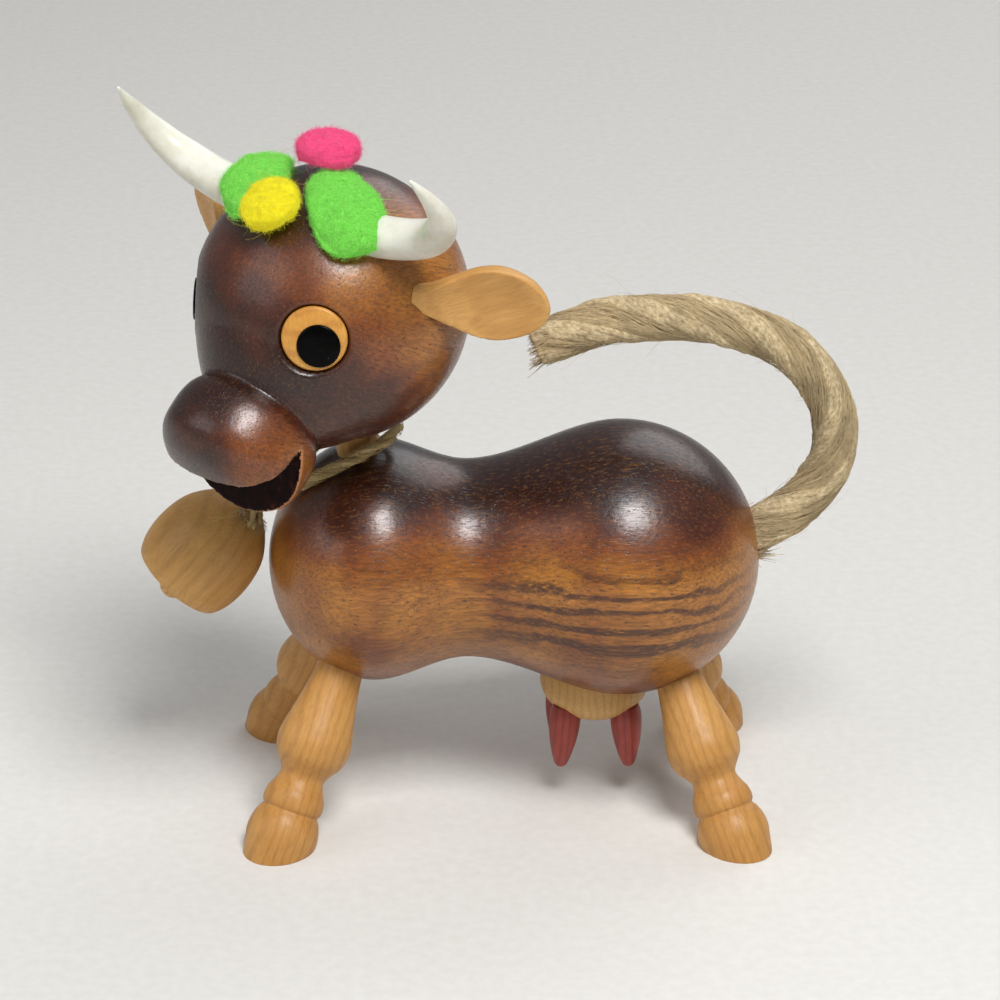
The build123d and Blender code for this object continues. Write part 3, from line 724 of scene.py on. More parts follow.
def head_wood():
    """Stained wood of the head, golden on cheek and snout, worn on the lower lip, with a painted reflection
    on the roof's edge.
    """
    grain_place = muzzle_frame @ turn("Y", -62)

    def from_muzzle(tree, vector, way, origin=(0, 0, 0)):
        return measured(tree, vector, muzzle_frame, grain_place, way, origin)

    def head_tone(tree, vector):
        forward = from_muzzle(tree, vector, (1, 0, 0))
        left = from_muzzle(tree, vector, (0, 1, 0))
        near = times(tree, rising(tree, left, -2, 15), rising(tree, forward, 18, 6))
        snout = times(tree, rising(tree, forward, 21, 27), rising(tree, left, 2, 9))
        return maths(tree, "ADD", times(tree, near, 0.8), times(tree, snout, 0.75))

    wood = stained_wood("Stained head wood", grain_place, head_tone, flecked=0.26)
    tree = wood.node_tree
    shader = tree.nodes["Principled BSDF"]
    stained = shader.inputs["Base Color"].links[0].from_socket
    mapping = next(node for node in tree.nodes if node.type == "MAPPING").outputs[0]
    lip_run = (-lip_way.z, 0, lip_way.x)
    along_lip = from_muzzle(tree, mapping, lip_run, saw_corner)
    under = from_muzzle(tree, mapping, lip_way, saw_corner)
    over = from_muzzle(tree, mapping, roof_way, saw_corner)
    lip = times(tree, rising(tree, under, 1.0, 0.35), rising(tree, under, -0.6, -0.2))
    lip = times(tree, lip, rising(tree, along_lip, -1.2, 0.4))
    # Painted reflection: a paler greyish line along the edge where the roof of the mouth is cut.
    edge = times(tree, rising(tree, over, 0.5, 0.1), rising(tree, over, -0.5, -0.1))
    edge = times(tree, edge, rising(tree, along_lip, -0.5, 0.5))
    worn = mixed(tree, times(tree, lip, 0.8), stained, paint(176, 116, 66))
    feed(tree, shader, Base_Color=mixed(tree, times(tree, edge, 0.5), worn, paint(150, 112, 84)))
    return wood


def sawn_wood():
    """Dark wood inside the mouth."""
    made, tree, shader, vector = material("Dark saw cut", muzzle_frame, Roughness=0.6,
                                          Specular_IOR_Level=0.05)
    cut_mottle = mottle(tree, vector, 0.8, 4.0)
    # The sawn faces inside the mouth are near black, mottled up to dark brown.
    cut_colour = graded(tree, cut_mottle, (0.35, paint(12, 2, 3)), (0.6, paint(30, 6, 4)), (0.75, paint(66, 26, 12)))
    feed(tree, shader, Base_Color=cut_colour, Roughness=graded(tree, cut_mottle, (0.3, 0.5), (0.7, 0.3)))
    return made


def make_head():
    """Head in stained wood, with dark wood where the saw went through."""
    head = head_shape()
    seat(head, muzzle_frame, "head", "stained_wood", head_wood(), "head")
    head.data.materials.append(sawn_wood())
    to_bench = (bench @ muzzle_frame).inverted()
    for face in head.data.polygons:
        point = to_bench @ face.center - saw_corner
        facing = (to_bench.to_3x3() @ face.normal).normalized()
        sawn = min(facing.dot(lip_way), facing.dot(roof_way)) < -0.8
        in_gap = max(point.dot(lip_way), point.dot(roof_way)) < 0.12
        if point.x > -0.4 and in_gap and (sawn or point.x < 0.6):
            face.material_index = 1


def make_eyes():
    """Wooden discs in the recesses, and black pupils set low on them."""
    rim_radius, recess_depth, disc_height, disc_radius = 5.95, 1.6, 1.55, 5.2
    floor = math.sqrt(head_radius ** 2 - rim_radius ** 2) - recess_depth
    face = floor + disc_height
    disc_outline = [(floor, 0), (floor, disc_radius), (face - 0.4, disc_radius), (face - 0.12, 5.08),
                    (face, 4.8), (face, 0)]
    pupil_outline = [(face, 0), (face, 3.4), (face + 0.25, 3.45), (face + 0.42, 3.3), (face + 0.52, 2.8),
                     (face + 0.6, 1.6), (face + 0.62, 0)]
    for side, hand in hands:
        place = on_ball(*eye_angles[side])
        disc = lathe(f"eye_disc_{hand}_wood", disc_outline, 72)
        wood = natural_wood(f"Honey wood eye {hand}", place @ turn("Y", 70), paint(222, 166, 78),
                            paint(206, 142, 56), paint(172, 104, 40), 0.35, 1.2, 0.35)
        seat(disc, place, "head", "honey_wood", wood, f"eye_disc_{hand}")
        pupil = lathe(f"pupil_{hand}_disc", pupil_outline, 64)
        seat(pupil, place @ move(0, side * 0.6, -1.1), "head", "black_disc", pupil_material, f"pupil_{hand}")


def make_ears():
    """Ears sliced flat in front with a shallow scoop."""
    length, radius, scoop_depth = 19.2, 6.2, 0.8
    around, rise, swept, droop, tipped = 91, 18.6, 31.6, 9.7, 4
    shares = ((-0.13, 0.42), (0.0, 0.43), (0.2, 0.7), (0.4, 0.95), (0.6, 1.0), (0.82, 0.76),
              (0.95, 0.38), (1.0, 0.0))
    for side, hand in hands:
        root = (on_ball(side * around, rise) @ move(head_radius, 0, 0)).translation
        place = (Matrix.Translation(root) @ neck_turn @ turn("Z", side * (90 + swept)) @ turn("Y", droop)
                 @ turn("X", side * (90 - tipped)))
        outline = smooth_line([(length * at, radius * size) for at, size in shares], 6)
        ear = lathe(f"ear_{hand}_wood", [(outline[0][0], 0), *outline], 64)
        start = length * 0.2
        for plane, height, beyond in (("front", 0.6, 30), ("back", -3.6, -30)):
            corners = [(start, height), (start + 40, height), (start + 40, beyond), (start, beyond)]
            cut(ear, block(f"ear {plane} plane", corners, 60))
        face, span = 0.6, (length - start) / 2
        scoop = (span ** 2 + scoop_depth ** 2) / (2 * scoop_depth)
        bpy.ops.mesh.primitive_uv_sphere_add(segments=128, ring_count=96, radius=scoop,
                                             location=(start + span, 0, face + scoop - scoop_depth))
        cut(ear, bpy.context.object)
        finish_with(ear, "REMESH", mode="VOXEL", voxel_size=0.2)
        finish_with(ear, "SMOOTH", factor=0.5, iterations=5)
        wood = natural_wood(f"Honey wood ear {hand}", place @ turn("Z", 24), paint(214, 162, 92),
                            paint(200, 146, 76), paint(176, 120, 58), 0.3, 1.1, 0.1, 0.3)
        seat(ear, place, "head", "honey_wood", wood, f"ear_{hand}")


def make_horns():
    """Tapered horns that curve outwards, forwards and up."""
    sizes = ((0, 3.4), (0.12, 3.38), (0.25, 3.3), (0.38, 3.18), (0.5, 3.0), (0.62, 2.6), (0.72, 2.24),
             (0.82, 1.72), (0.9, 1.2), (0.96, 0.7), (1.0, 0.25))
    for side, hand in hands:
        place = horn_place(side)
        controls = [Vector((0, 0, 0)), Vector((-0.39, side * 6.2, 0.37)), Vector((-3.29, side * 21.5, 1.11)),
                    Vector((6.45, side * 17.0, 18.5))]
        rings = []
        for at, radius in smooth_line(sizes, 3):
            back = 1 - at
            point = (controls[0] * back ** 3 + controls[1] * 3 * at * back ** 2
                     + controls[2] * 3 * at ** 2 * back + controls[3] * at ** 3)
            heading = ((controls[1] - controls[0]) * back ** 2 + (controls[2] - controls[1]) * 2 * at * back
                       + (controls[3] - controls[2]) * at ** 2)
            rings.append((point, heading.normalized(), radius))
        start = rings[0]
        rings.insert(0, (start[0] - start[1] * 2.5, start[1], start[2]))
        horn = ringed(f"horn_{hand}_shell", rings, 40, ridge=0.05)
        seat(horn, place, "head", "horn_plastic", horn_material, f"horn_{hand}")


def ringed(name, rings, sides, ridge=0.0):
    """Closed form through rings of (centre, heading, radius), with a soft ridge on its outer side."""
    only()
    bpy.ops.mesh.primitive_circle_add(vertices=sides, radius=1, fill_type="NOTHING")
    piece = bpy.context.object
    piece.name = name
    circle = [vertex.co.copy() for vertex in piece.data.vertices]
    points = []
    facing = Vector((0, 0, 1)).rotation_difference(rings[0][1])
    before = rings[0][1]
    for centre, heading, radius in rings:
        facing = before.rotation_difference(heading) @ facing
        before = heading
        for corner in circle:
            swell = 1 + ridge * max(0, math.cos(math.atan2(corner.y, corner.x))) ** 6
            points.append(centre + facing @ (corner * radius * swell))
    faces = []
    for ring in range(len(rings) - 1):
        for corner in range(sides):
            following = (corner + 1) % sides
            first, second = ring * sides, (ring + 1) * sides
            faces.append((first + corner, first + following, second + following, second + corner))
    ends = (len(points), len(points) + 1)
    points += [rings[0][0], rings[-1][0] + rings[-1][1] * rings[-1][2]]
    last = (len(rings) - 1) * sides
    for corner in range(sides):
        following = (corner + 1) % sides
        faces.append((following, corner, ends[0]))
        faces.append((last + corner, last + following, ends[1]))
    piece.data.clear_geometry()
    piece.data.from_pydata(points, [], faces)
    piece.data.update()
    return piece


def horn_place(side):
    """Root of one horn on the ball, with the head's own directions."""
    root = (on_ball(side * 81.75, 54.3) @ move(head_radius, 0, 0)).translation
    return Matrix.Translation(root) @ neck_turn


def felt_pad(name, place, length, width, inner, thickness, taper, bump, lift, corners, seed):
    """Oval of felt bent over the ball: the bench's X is its length and Z points out."""
    only()
    bpy.ops.mesh.primitive_circle_add(vertices=48, radius=1, fill_type="NGON")
    pad = bpy.context.object
    pad.name = name
    bpy.ops.object.mode_set(mode="EDIT")
    for _ in range(6):
        bpy.ops.mesh.inset(thickness=0.14)
    bpy.ops.object.mode_set(mode="OBJECT")
    random.seed(seed)
    for vertex in pad.data.vertices:
        x, y, _ = vertex.co
        round_off = 1 + corners * math.sin(2 * math.atan2(y, x)) ** 2
        vertex.co = (x * length / 2 * round_off, y * width / 2 * round_off * (1 - taper * x), inner * 1.5)
    bpy.ops.mesh.primitive_uv_sphere_add(segments=128, ring_count=96, radius=inner)
    ball = bpy.context.object
    finish_with(pad, "SHRINKWRAP", target=ball, wrap_method="PROJECT", use_project_z=True,
                use_negative_direction=True, use_positive_direction=False)
    bpy.data.objects.remove(ball)
    only(pad)
    face_out()
    if sum(face.normal.z for face in pad.data.polygons) < 0:
        pad.data.flip_normals()
    finish_with(pad, "SOLIDIFY", thickness=thickness, offset=1.0)
    finish_with(pad, "BEVEL", width=thickness * 0.42, segments=5, limit_method="ANGLE",
                angle_limit=math.radians(50))
    finish_with(pad, "SUBSURF", levels=1, render_levels=1)
    roots = [(place.inverted() @ horn_place(side)).translation.normalized() for side in (-1, 1)]
    # The pad is thin at its edge and full in the middle, and rises near a horn's root
    edge_share, pillow_share, bump_reach, bump_run = 0.42, 0.62, 8.5, 6.0
    for vertex in pad.data.vertices:
        level = inner / vertex.co.length
        edge = math.hypot(vertex.co.x / (length / 2), vertex.co.y / (width / 2)) * level
        swell = edge_share + pillow_share * math.sqrt(max(0.0, 1 - min(1.0, edge) ** 3))
        height = max(0.0, vertex.co.length - inner)
        vertex.co = vertex.co.normalized() * (vertex.co.length + height * (swell - 1))
        apart = min(root.angle(vertex.co) for root in roots) * inner
        near_root = min(1.0, max(0.0, (bump_reach - apart) / bump_run))
        vertex.co += vertex.co.normalized() * bump * ease(near_root)
        far = max(0.0, -math.copysign(1, lift) * vertex.co.x / (length / 2) - 0.1)
        vertex.co += vertex.co.normalized() * abs(lift) * far ** 1.6
        lump = noise.noise(vertex.co * 0.45 + Vector((seed, 0, 0))) * 0.4
        lump += noise.noise(vertex.co * 1.6 + Vector((0, seed, 0))) * 0.2
        vertex.co += vertex.co.normalized() * lump
    return pad


def fibre_curve(name, thickness):
    """Empty curve for fine fibres of one thickness."""
    curve = bpy.data.curves.new(name, "CURVE")
    curve.dimensions = "3D"
    curve.bevel_depth = thickness * MM / 2
    curve.bevel_resolution = 0
    return curve


def add_fibre(curve, points, widths):
    """One fibre through points in metres, with its width at each."""
    spline = curve.splines.new("POLY")
    spline.points.add(len(points) - 1)
    for place, point, width in zip(spline.points, points, widths):
        place.co = (*point, 1)
        place.radius = width


def as_mesh(name, curve):
    """All the fibres of a curve as one mesh."""
    fibres = bpy.data.objects.new(name, curve)
    bpy.context.collection.objects.link(fibres)
    only(fibres)
    bpy.ops.object.convert(target="MESH")
    return bpy.context.object


def hairs(name, pad, count, length, thickness, rise, seed):
    """Loose fibres that stand on a seated piece, curled and fine."""
    random.seed(seed)
    mesh = pad.data
    areas = [face.area for face in mesh.polygons]
    curve = fibre_curve(name, thickness)
    for face in random.choices(mesh.polygons, weights=areas, k=count):
        corners = [mesh.vertices[index].co for index in face.vertices]
        spot = corners[0].lerp(corners[1], random.random()).lerp(corners[2], random.random() * 0.6)
        lie = Vector((random.gauss(0, 1), random.gauss(0, 1), random.gauss(0, 1)))
        lie = (lie - face.normal * lie.dot(face.normal)).normalized()
        heading = (face.normal * random.uniform(*rise) + lie).normalized()
        curl = face.normal.cross(lie) * random.gauss(0, 0.5)
        reach = random.uniform(0.45, 1.0) * length * MM
        points = [spot - face.normal * 0.08 * MM]
        for index in range(3):
            heading = (heading + curl * 0.5 - face.normal * 0.16 * index).normalized()
            points.append(points[-1] + heading * reach / 3)
        add_fibre(curve, points, (1, 0.8, 0.6, 0.4))
    return as_mesh(name, curve)


def dress(piece, body, coat):
    """Ride and material of a piece that is already in its place."""
    piece.data.materials.clear()
    piece.data.materials.append(coat)
    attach(piece, body)
    return piece


def make_felts():
    """Two green leaves on the crown, and a yellow and a pink flower."""
    shades = {
        "green": (paint(62, 166, 34), paint(100, 212, 58), paint(160, 242, 116)),
        "yellow": (paint(238, 206, 0), paint(252, 234, 6), paint(255, 246, 70)),
        "pink": (paint(250, 30, 92), paint(255, 56, 122), paint(255, 118, 164)),
    }
    base = head_radius + 0.2
    top = base + 3.4
    # Node, dye, azimuth, rise, turn, then felt_pad's length to corners, seed and count of hairs
    pads = [
        ("leaf_left", "green", 77.0, 68.0, 67.0, 17.0, 10.4, base, 2.9, 0.08, 1.7, 1.0, 0.1, 11, 4200),
        ("leaf_right", "green", -82.0, 65.0, 27.0, 18.0, 10.4, base, 2.8, -0.08, 1.6, -0.8, 0.1, 23, 4200),
        ("flower_yellow", "yellow", 0, 69.3, 55, 9.0, 8.3, top - 1.2, 3.4, 0.0, 0.0, 0.0, 0.03, 37, 2400),
        ("flower_pink", "pink", 180, 78, 20, 9.6, 8.8, top - 0.6, 3.6, 0.12, 0.0, 0.0, 0.06, 41, 2400),
    ]
    out = Matrix(((0, 0, 1, 0), (1, 0, 0, 0), (0, 1, 0, 0), (0, 0, 0, 1)))
    coats = {}
    for key, tones in shades.items():
        # The loose hairs get a brighter copy of the felt's colours: painted light on the fibres.
        coats[key] = (felt_material(f"{key.title()} felt", *tones),
                      felt_material(f"{key.title()} nap", *tones[1:], tones[2]))
    for node, key, azimuth, rise, angle, *form, seed, count in pads:
        felt, bright_painted_fluff = coats[key]
        slot = f"{key}_felt"
        place = on_ball(azimuth, rise) @ out @ turn("Z", angle)
        pad = felt_pad(f"{node}_felt", place, *form, seed)
        seat(pad, place, "head", slot, felt, node)
        nap_hairs = hairs(f"{node}_nap", pad, count, 1.3, 0.05, (0.2, 1.1), seed)
        dress(nap_hairs, "head", bright_painted_fluff)
        stray_hairs = hairs(f"{node}_stray", pad, count // 60, 4.2, 0.035, (0.6, 1.6), seed + 1)
        dress(stray_hairs, "head", bright_painted_fluff)


def tuft(name, spots, thickness, seed, body, coat):
    """Frayed fibres, each through the points that spots gives for a random number source."""
    curve = fibre_curve(name, thickness)
    for line in spots(random.Random(seed)):
        widths = [1 - 0.6 * index / len(line) for index in range(len(line))]
        add_fibre(curve, [bench @ Vector(point) for point in line], widths)
    return dress(as_mesh(name, curve), body, coat)


def dab(name, place, sizes, body, seed):
    """Irregular drop of clear glue."""
    only()
    bpy.ops.mesh.primitive_ico_sphere_add(subdivisions=4, radius=1)
    drop = bpy.context.object
    drop.name = name
    for vertex in drop.data.vertices:
        swell = 1 + 0.3 * noise.noise(vertex.co * 1.3 + Vector((seed, 0, 0)))
        vertex.co = Vector((vertex.co.x * sizes[0], vertex.co.y * sizes[1], vertex.co.z * sizes[2])) * swell
    seat(drop, place, body, None, glue_material)


def over_bell(out, angle, lift):
    """Point on the bell's crown, out from its axis and round it from the viewer's side."""
    across = Vector((-bell_axis.z, 0, bell_axis.x))
    way = across * math.sin(angle) - Vector((0, math.cos(angle), 0))
    return bell_top + bell_axis * (crown_fall * out ** 2 - lift) + way * out


def two_plies(name, line, offset, radius, lay, sides, seeds):
    """Two strands of jute laid round a line."""
    return [strand(f"{name} ply {ply}", line, offset, radius, lay, ply * math.pi, sides, 0.16, 2, seeds[ply])
            for ply in range(2)]


def make_glue():
    """The twine's cut ends, frayed, and the glue that holds them on the bell's crown."""
    ends = []
    for angle, reach in ((22, 4.9), (52, 3.9)):
        points = [over_bell(reach * step / 4, math.radians(angle), 0.7) for step in range(5)]
        line = centre_line("twine end route", points, twine_spacing)
        ends += two_plies("twine end", line, 0.42, 0.54, 9.0, 12, (angle, angle))
    dress(joined("twine_cut_ends", ends), "bell", jute_material)
    second = [Vector((-41.0, 1.3, 56.6)), Vector((-42.3, 0.9, 55.4)), Vector((-43.4, 0.4, 54.2)), bell_top]
    line = centre_line("second end route", second, twine_spacing)
    plies = two_plies("second end", line, twine_offset, ply_radius, twine_lay, 16, (3, 3))
    dress(joined("twine_second_end", plies), "torso", jute_material)
    dab("bell_glue", along(over_bell(3.1, math.radians(4), 0.1), bell_axis), (0.5, 1.9, 1.5), "bell", 3)

    def bell_end(source):
        lines = []
        for _ in range(150):
            around = math.radians(source.gauss(34, 22))
            reach = source.uniform(0.8, 3.0)
            wave = source.gauss(0, 0.3)
            rise = source.uniform(0.1, 0.7)
            lines.append([over_bell(3.2 + reach * step / 5, around + wave * step / 5, 0.5 + rise * step / 5)
                          for step in range(6)])
        for first, turn_by in ((-4, 5), (8, 8), (-14, 3)):
            lines.append([over_bell(3.0 + 0.8 * step, math.radians(first - turn_by * step),
                                    0.4 + 0.3 * step - 0.03 * step ** 2) for step in range(7)])
        return lines

    tuft("twine_end_fray", bell_end, 0.11, 31, "bell", jute_material)


def make_frays():
    """Frayed ends of the rope at the ear and at the rump."""

    def ear_end(source):
        lines = []
        for _ in range(150):
            angle = source.uniform(0, 2 * math.pi)
            out = 3.4 * math.sqrt(source.random())
            start = rope_tip + Vector((0, out * math.cos(angle), out * math.sin(angle)))
            heading = Vector((-1, source.gauss(0, 0.25), -0.42 + source.gauss(0, 0.3)))
            reach = source.uniform(1.0, 3.0)
            lines.append([start + heading * reach * step / 3 - Vector((0, 0, 0.12 * step))
                          for step in range(4)])
        return lines

    def rump_end(source):
        lines = []
        way, side, across = Vector((0.844, 0, 0.536)), Vector((-0.536, 0, 0.844)), Vector((0, 1, 0))
        for _ in range(260):
            angle = source.uniform(0, 2 * math.pi)
            out = source.uniform(3.0, 4.1)
            start = rope_root + (side * math.cos(angle) + across * math.sin(angle)) * out
            heading = way + (start - rope_root) * source.uniform(0.02, 0.12)
            heading += Vector((source.gauss(0, 0.25), source.gauss(0, 0.25), source.gauss(0, 0.25)))
            reach = source.uniform(1.5, 4.2)
            lines.append([start + heading * reach * step / 3 for step in range(4)])
        return lines

    tuft("tail_rope_tip_fray", ear_end, 0.14, 51, "torso", hemp_material)
    tuft("tail_rope_root_fray", rump_end, 0.12, 52, "torso", hemp_material)


def make_bell():
    """Turned hollow bell and its clapper."""
    crown_hole = (0.0, 1.3)
    outside = [(0.0, 2.3), (0.35, 2.9), (1.3, 4.35), (2.9, 6.1), (5.9, 8.15), (9.0, 9.1), (12.6, 9.4),
               (15.7, 9.02), (17.5, 8.35), (17.95, 8.0), (17.9, 7.2)]
    inside = [(17.4, 6.85), (15.6, 7.55), (12.6, 7.9), (9.0, 7.6), (5.9, 6.7), (3.2, 4.9), (2.9, 1.3)]
    outline = [crown_hole, *smooth_line(outside, 5), *smooth_line(inside, 5)]
    bell = lathe("bell_wood", [*outline, outline[0]], 96)
    wood = natural_wood("Honey wood bell", bell_frame, paint(212, 162, 92), paint(196, 144, 74),
                        paint(150, 100, 48), 0.2, 2.6, 0.12)
    seat(bell, bell_frame, "bell", "honey_wood", wood, "bell")
    centre, bead_radius, stem_radius = bell_length + 1.2, 2.4, 0.8
    bead = arc(centre, bead_radius, bead_radius, 168, 0, 30)
    bead[-1] = (centre + bead_radius, 0)
    stem = [(1.4, 0), (1.4, 0.6), (1.7, stem_radius), (centre - bead_radius, stem_radius)]
    clapper = lathe("clapper_wood", [*stem, *bead], 48)
    wood = natural_wood("Honey wood clapper", bell_frame, paint(212, 164, 92), paint(188, 134, 64),
                        paint(150, 98, 44), 0.4, 1.0, 0.2)
    seat(clapper, bell_frame, "clapper", "honey_wood", wood, "clapper")


def centre_line(name, points, spacing):
    """Evenly spaced points of the smooth line that a cord follows through its route."""
    curve = bpy.data.curves.new(name, "CURVE")
    curve.dimensions = "3D"
    spline = curve.splines.new("NURBS")
    spline.points.add(len(points) - 1)
    for place, point in zip(spline.points, points):
        place.co = (*(bench @ Vector(point)), 1)
    spline.order_u = 3
    spline.use_endpoint_u = True
    spline.resolution_u = 24
    route = bpy.data.objects.new(name, curve)
    bpy.context.collection.objects.link(route)
    bpy.context.view_layer.update()
    mesh = bpy.data.meshes.new_from_object(route)
    raw = [vertex.co.copy() for vertex in mesh.vertices]
    bpy.data.objects.remove(route)
    length = sum((b - a).length for a, b in zip(raw, raw[1:]))
    count = max(8, round(length / (spacing * MM)))
    line, travelled, index = [raw[0]], 0.0, 0
    for step in range(1, count):
        goal = length * step / count
        while travelled + (raw[index + 1] - raw[index]).length < goal:
            travelled += (raw[index + 1] - raw[index]).length
            index += 1
        share = (goal - travelled) / (raw[index + 1] - raw[index]).length
        line.append(raw[index].lerp(raw[index + 1], share))
    return [*line, raw[-1]]


def carried_frames(line):
    """Heading, side and rise at each point of a line, carried along it without twist."""
    frames = []
    heading = (line[1] - line[0]).normalized()
    side = Vector((0, 1, 0)) - heading * heading.y
    side.normalize()
    for index, point in enumerate(line):
        ahead = (line[min(index + 1, len(line) - 1)] - line[max(index - 1, 0)]).normalized()
        side = heading.rotation_difference(ahead) @ side
        heading = ahead
        frames.append((point, heading, side, heading.cross(side)))
    return frames


def strand(name, line, offset, radius, lay, phase, sides, rough, taper_end, seed):
    """One strand of a rope or ply of a twine, laid round a line, with ridges of fibre."""
    frames = carried_frames(line)
    step = (line[1] - line[0]).length
    points, chart = [], []
    last = len(frames) - 1
    for index, (point, _, side, rise) in enumerate(frames):
        angle = 2 * math.pi * index * step / (lay * MM) + phase
        drift = 1 + 0.12 * noise.noise(Vector((index * step / MM * 0.16, seed, phase)))
        centre = point + (side * math.cos(angle) + rise * math.sin(angle)) * offset * MM * drift
        near_end = min(1.0, (last - index) / max(1, taper_end))
        size = radius * MM * (0.72 + 0.28 * near_end)
        for corner in range(sides):
            around = 2 * math.pi * corner / sides
            out = side * math.cos(around + angle) + rise * math.sin(around + angle)
            spot = Vector((math.cos(around) * 3.4, math.sin(around) * 3.4, index * step / MM * 0.22 + seed))
            ridge = noise.noise(spot) * rough + noise.noise(spot * 2.6) * rough * 0.6
            points.append(centre + out * size * (1 + ridge))
            chart.append((corner / sides, index * step))
    faces = []
    for ring in range(last):
        for corner in range(sides):
            following = (corner + 1) % sides
            first, second = ring * sides, (ring + 1) * sides
            faces.append((first + corner, second + corner, second + following, first + following))
    start_middle = sum(points[:sides], Vector()) / sides
    end_middle = sum(points[-sides:], Vector()) / sides
    centre_first, centre_last = len(points), len(points) + 1
    points += [start_middle, end_middle + frames[-1][1] * 0.5 * MM]
    chart += [(0.5, 0.0), (0.5, last * step)]
    for corner in range(sides):
        following = (corner + 1) % sides
        faces.append((corner, following, centre_first))
        faces.append((last * sides + following, last * sides + corner, centre_last))
    mesh = bpy.data.meshes.new(name)
    mesh.from_pydata(points, [], faces)
    layer = mesh.uv_layers.new(name="strand")
    for loop in mesh.loops:
        layer.data[loop.index].uv = chart[loop.vertex_index]
    for face in mesh.polygons:
        rows = [layer.data[index].uv[0] for index in face.loop_indices]
        if max(rows) - min(rows) > 0.5:
            for index in face.loop_indices:
                if layer.data[index].uv[0] < 0.25:
                    layer.data[index].uv[0] += 1
    piece = bpy.data.objects.new(name, mesh)
    bpy.context.collection.objects.link(piece)
    only(piece)
    face_out()
    bpy.ops.object.shade_smooth()
    return piece


def lint(name, line, radius, count, length, thickness, lay, lift, seed):
    """Loose fibres that follow the lay of a rope or twine and stand off it here and there."""
    random.seed(seed)
    frames = carried_frames(line)
    step = (line[1] - line[0]).length / MM
    curve = fibre_curve(name, thickness)
    shares = [index / 6 for index in range(7)]
    for _ in range(count):
        reach = random.uniform(0.4, 1.0) * length
        start = random.uniform(0, max(0.1, (len(frames) - 1) * step - reach * 0.9))
        phase = random.uniform(0, 2 * math.pi)
        stand = max(0, random.gauss(0, lift))
        drift = random.gauss(0, 0.3)
        points = []
        for share in shares:
            along_line = min(start + reach * share, (len(frames) - 1) * step)
            point, _, side, rise = frames[min(len(frames) - 1, int(along_line / step))]
            angle = 2 * math.pi * along_line / lay + phase + drift * share
            out = (radius + 0.05 + stand * share ** 2) * MM
            points.append(point + (side * math.cos(angle) + rise * math.sin(angle)) * out)
        add_fibre(curve, points, [1 - 0.5 * share for share in shares])
    return as_mesh(name, curve)


def joined(name, pieces):
    """Several meshes joined into one piece."""
    only(*pieces)
    bpy.ops.object.join()
    piece = bpy.context.object
    piece.name = name
    piece.data.name = name
    return piece


def make_tail():
    """Three strands of hemp laid round the wire, with loose fibres."""
    line = centre_line("tail route", tail_line, rope_spacing)
    strands = [strand(f"tail strand {number}", line, rope_offset, strand_radius, rope_lay,
                      number * 2 * math.pi / 3 + 0.4, 44, 0.13, 12, number * 7.3) for number in range(3)]
    rope = joined("tail_rope_hemp", strands)
    dress(rope, "torso", hemp_material)
    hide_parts("tail_rope")
    fine = lint("tail_rope_fibres", line, 3.62, 2200, 11.0, 0.1, rope_lay, 0.14, 5)
    dress(fine, "torso", hemp_material)
    wild = lint("tail_rope_stray", line, 3.6, 90, 8.0, 0.06, 30.0, 1.9, 9)
    dress(wild, "torso", hemp_material)
    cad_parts["tail_wire"].data.materials.clear()
    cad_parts["tail_wire"].data.materials.append(wire_material)


def make_twine():
    """Two plies of jute from the bell round the neck and back."""
    entry = bell_top + bell_axis * 0.6
    rise = bell_top - bell_axis * 2.0
    line = centre_line("twine route", [entry, rise, *twine_loop], twine_spacing)
    plies = two_plies("twine", line, twine_offset, ply_radius, twine_lay, 16, (0, 5.1))
    twine = joined("collar_twine_jute", plies)
    dress(twine, "torso", jute_material)
    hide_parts("collar_twine")
    fine = lint("collar_twine_fibres", line, 0.92, 420, 6.0, 0.08, twine_lay, 0.2, 15)
    dress(fine, "torso", jute_material)


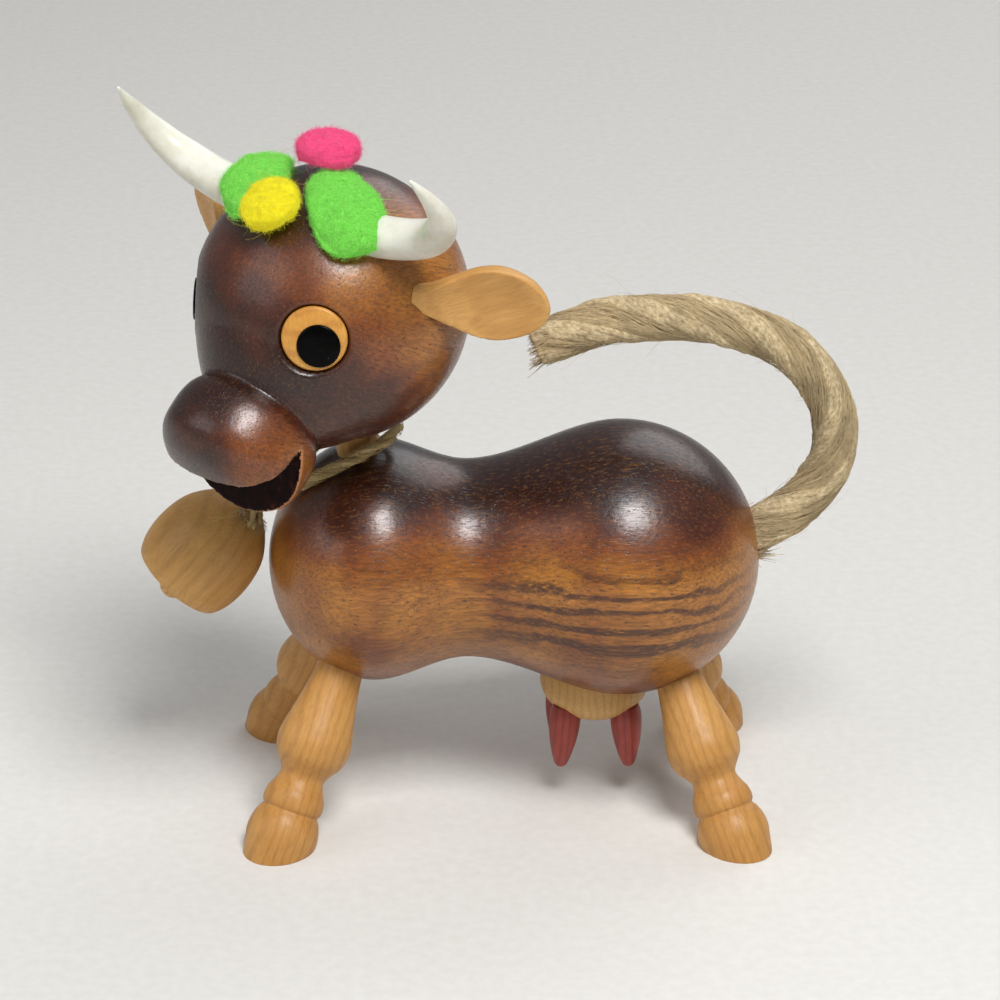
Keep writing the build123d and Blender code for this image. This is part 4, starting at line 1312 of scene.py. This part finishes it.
def make_camera():
    """Camera where the photograph was taken: degrees, millimetres and a focal length in pixels."""
    swing, tilt, roll = math.radians(-3.342), math.radians(24.415), math.radians(1.127)
    distance, focal, target = 656.18, 3966.43, Vector((-2.579, 0, 53.398))
    look = Vector((-math.sin(swing) * math.cos(tilt), math.cos(swing) * math.cos(tilt), -math.sin(tilt)))
    right = look.cross(Vector((0, 0, 1))).normalized()
    up = right.cross(look)
    right, up = (right * math.cos(roll) + up * math.sin(roll), up * math.cos(roll) - right * math.sin(roll))
    data = bpy.data.cameras.new("camera")
    data.sensor_fit = "HORIZONTAL"
    data.sensor_width = 36
    data.lens = focal * data.sensor_width / 1000
    data.clip_start = 0.01
    data.clip_end = 10
    camera = bpy.data.objects.new("camera", data)
    axes = Matrix((right, up, -look)).transposed().to_4x4()
    camera.matrix_world = Matrix.Translation(bench @ (target - look * distance)) @ axes
    bpy.context.collection.objects.link(camera)
    bpy.context.scene.camera = camera


def lamp(name, direction, distance, size, power):
    """Square soft lamp that looks at the cow from a direction."""
    data = bpy.data.lights.new(name, "AREA")
    data.size = size
    data.energy = power
    light = bpy.data.objects.new(name, data)
    bpy.context.collection.objects.link(light)
    way = Vector(direction).normalized()
    light.location = middle + Vector((0, 0, 0.06)) + way * distance
    light.rotation_euler = way.to_track_quat("Z", "Y").to_euler()


def make_studio():
    """Pale floor, pale surroundings and soft lamps."""
    only()
    bpy.ops.mesh.primitive_plane_add(size=6)
    floor = bpy.context.object
    floor.name = "floor"
    made, tree, shader, vector = material("Pale floor", Roughness=0.95, Specular_IOR_Level=0.1)
    weave = mottle(tree, vector, 0.5, 4.0)
    cloth = graded(tree, weave, (0.3, paint(216, 214, 208)), (0.7, paint(222, 220, 215)))
    feed(tree, shader, Base_Color=cloth)
    floor.data.materials.append(made)
    world = bpy.data.worlds.new("studio")
    bpy.context.scene.world = world
    world.use_nodes = True
    tree = world.node_tree
    background = tree.nodes["Background"]
    seen = put(tree, "LightPath")
    shown = maths(tree, "MAXIMUM", seen.outputs["Is Camera Ray"], seen.outputs["Is Transmission Ray"])
    sky = mixed(tree, shown, paint(132, 134, 138), paint(236, 235, 232))
    feed(tree, background, Color=sky, Strength=1.0)
    lamp("key", (0.14, -0.52, 0.84), 0.75, 0.28, 5.6)
    lamp("fill", (-0.9, -0.35, 0.55), 0.9, 0.6, 1.6)
    lamp("back", (0.5, 0.8, 0.7), 0.9, 0.6, 2.2)
    bpy.context.scene.view_settings.view_transform = "Standard"


make_camera()
make_studio()
make_twine()
make_tail()
make_body()
for fore_side, end_name in ((-1, "front"), (1, "rear")):
    for hand_side, hand_name in ((-1, "left"), (1, "right")):
        make_leg(fore_side, hand_side, f"leg_{end_name}_{hand_name}")
make_udder()
make_neck()
make_head()
make_eyes()
make_ears()
make_horns()
make_felts()
make_bell()
make_glue()
make_frays()
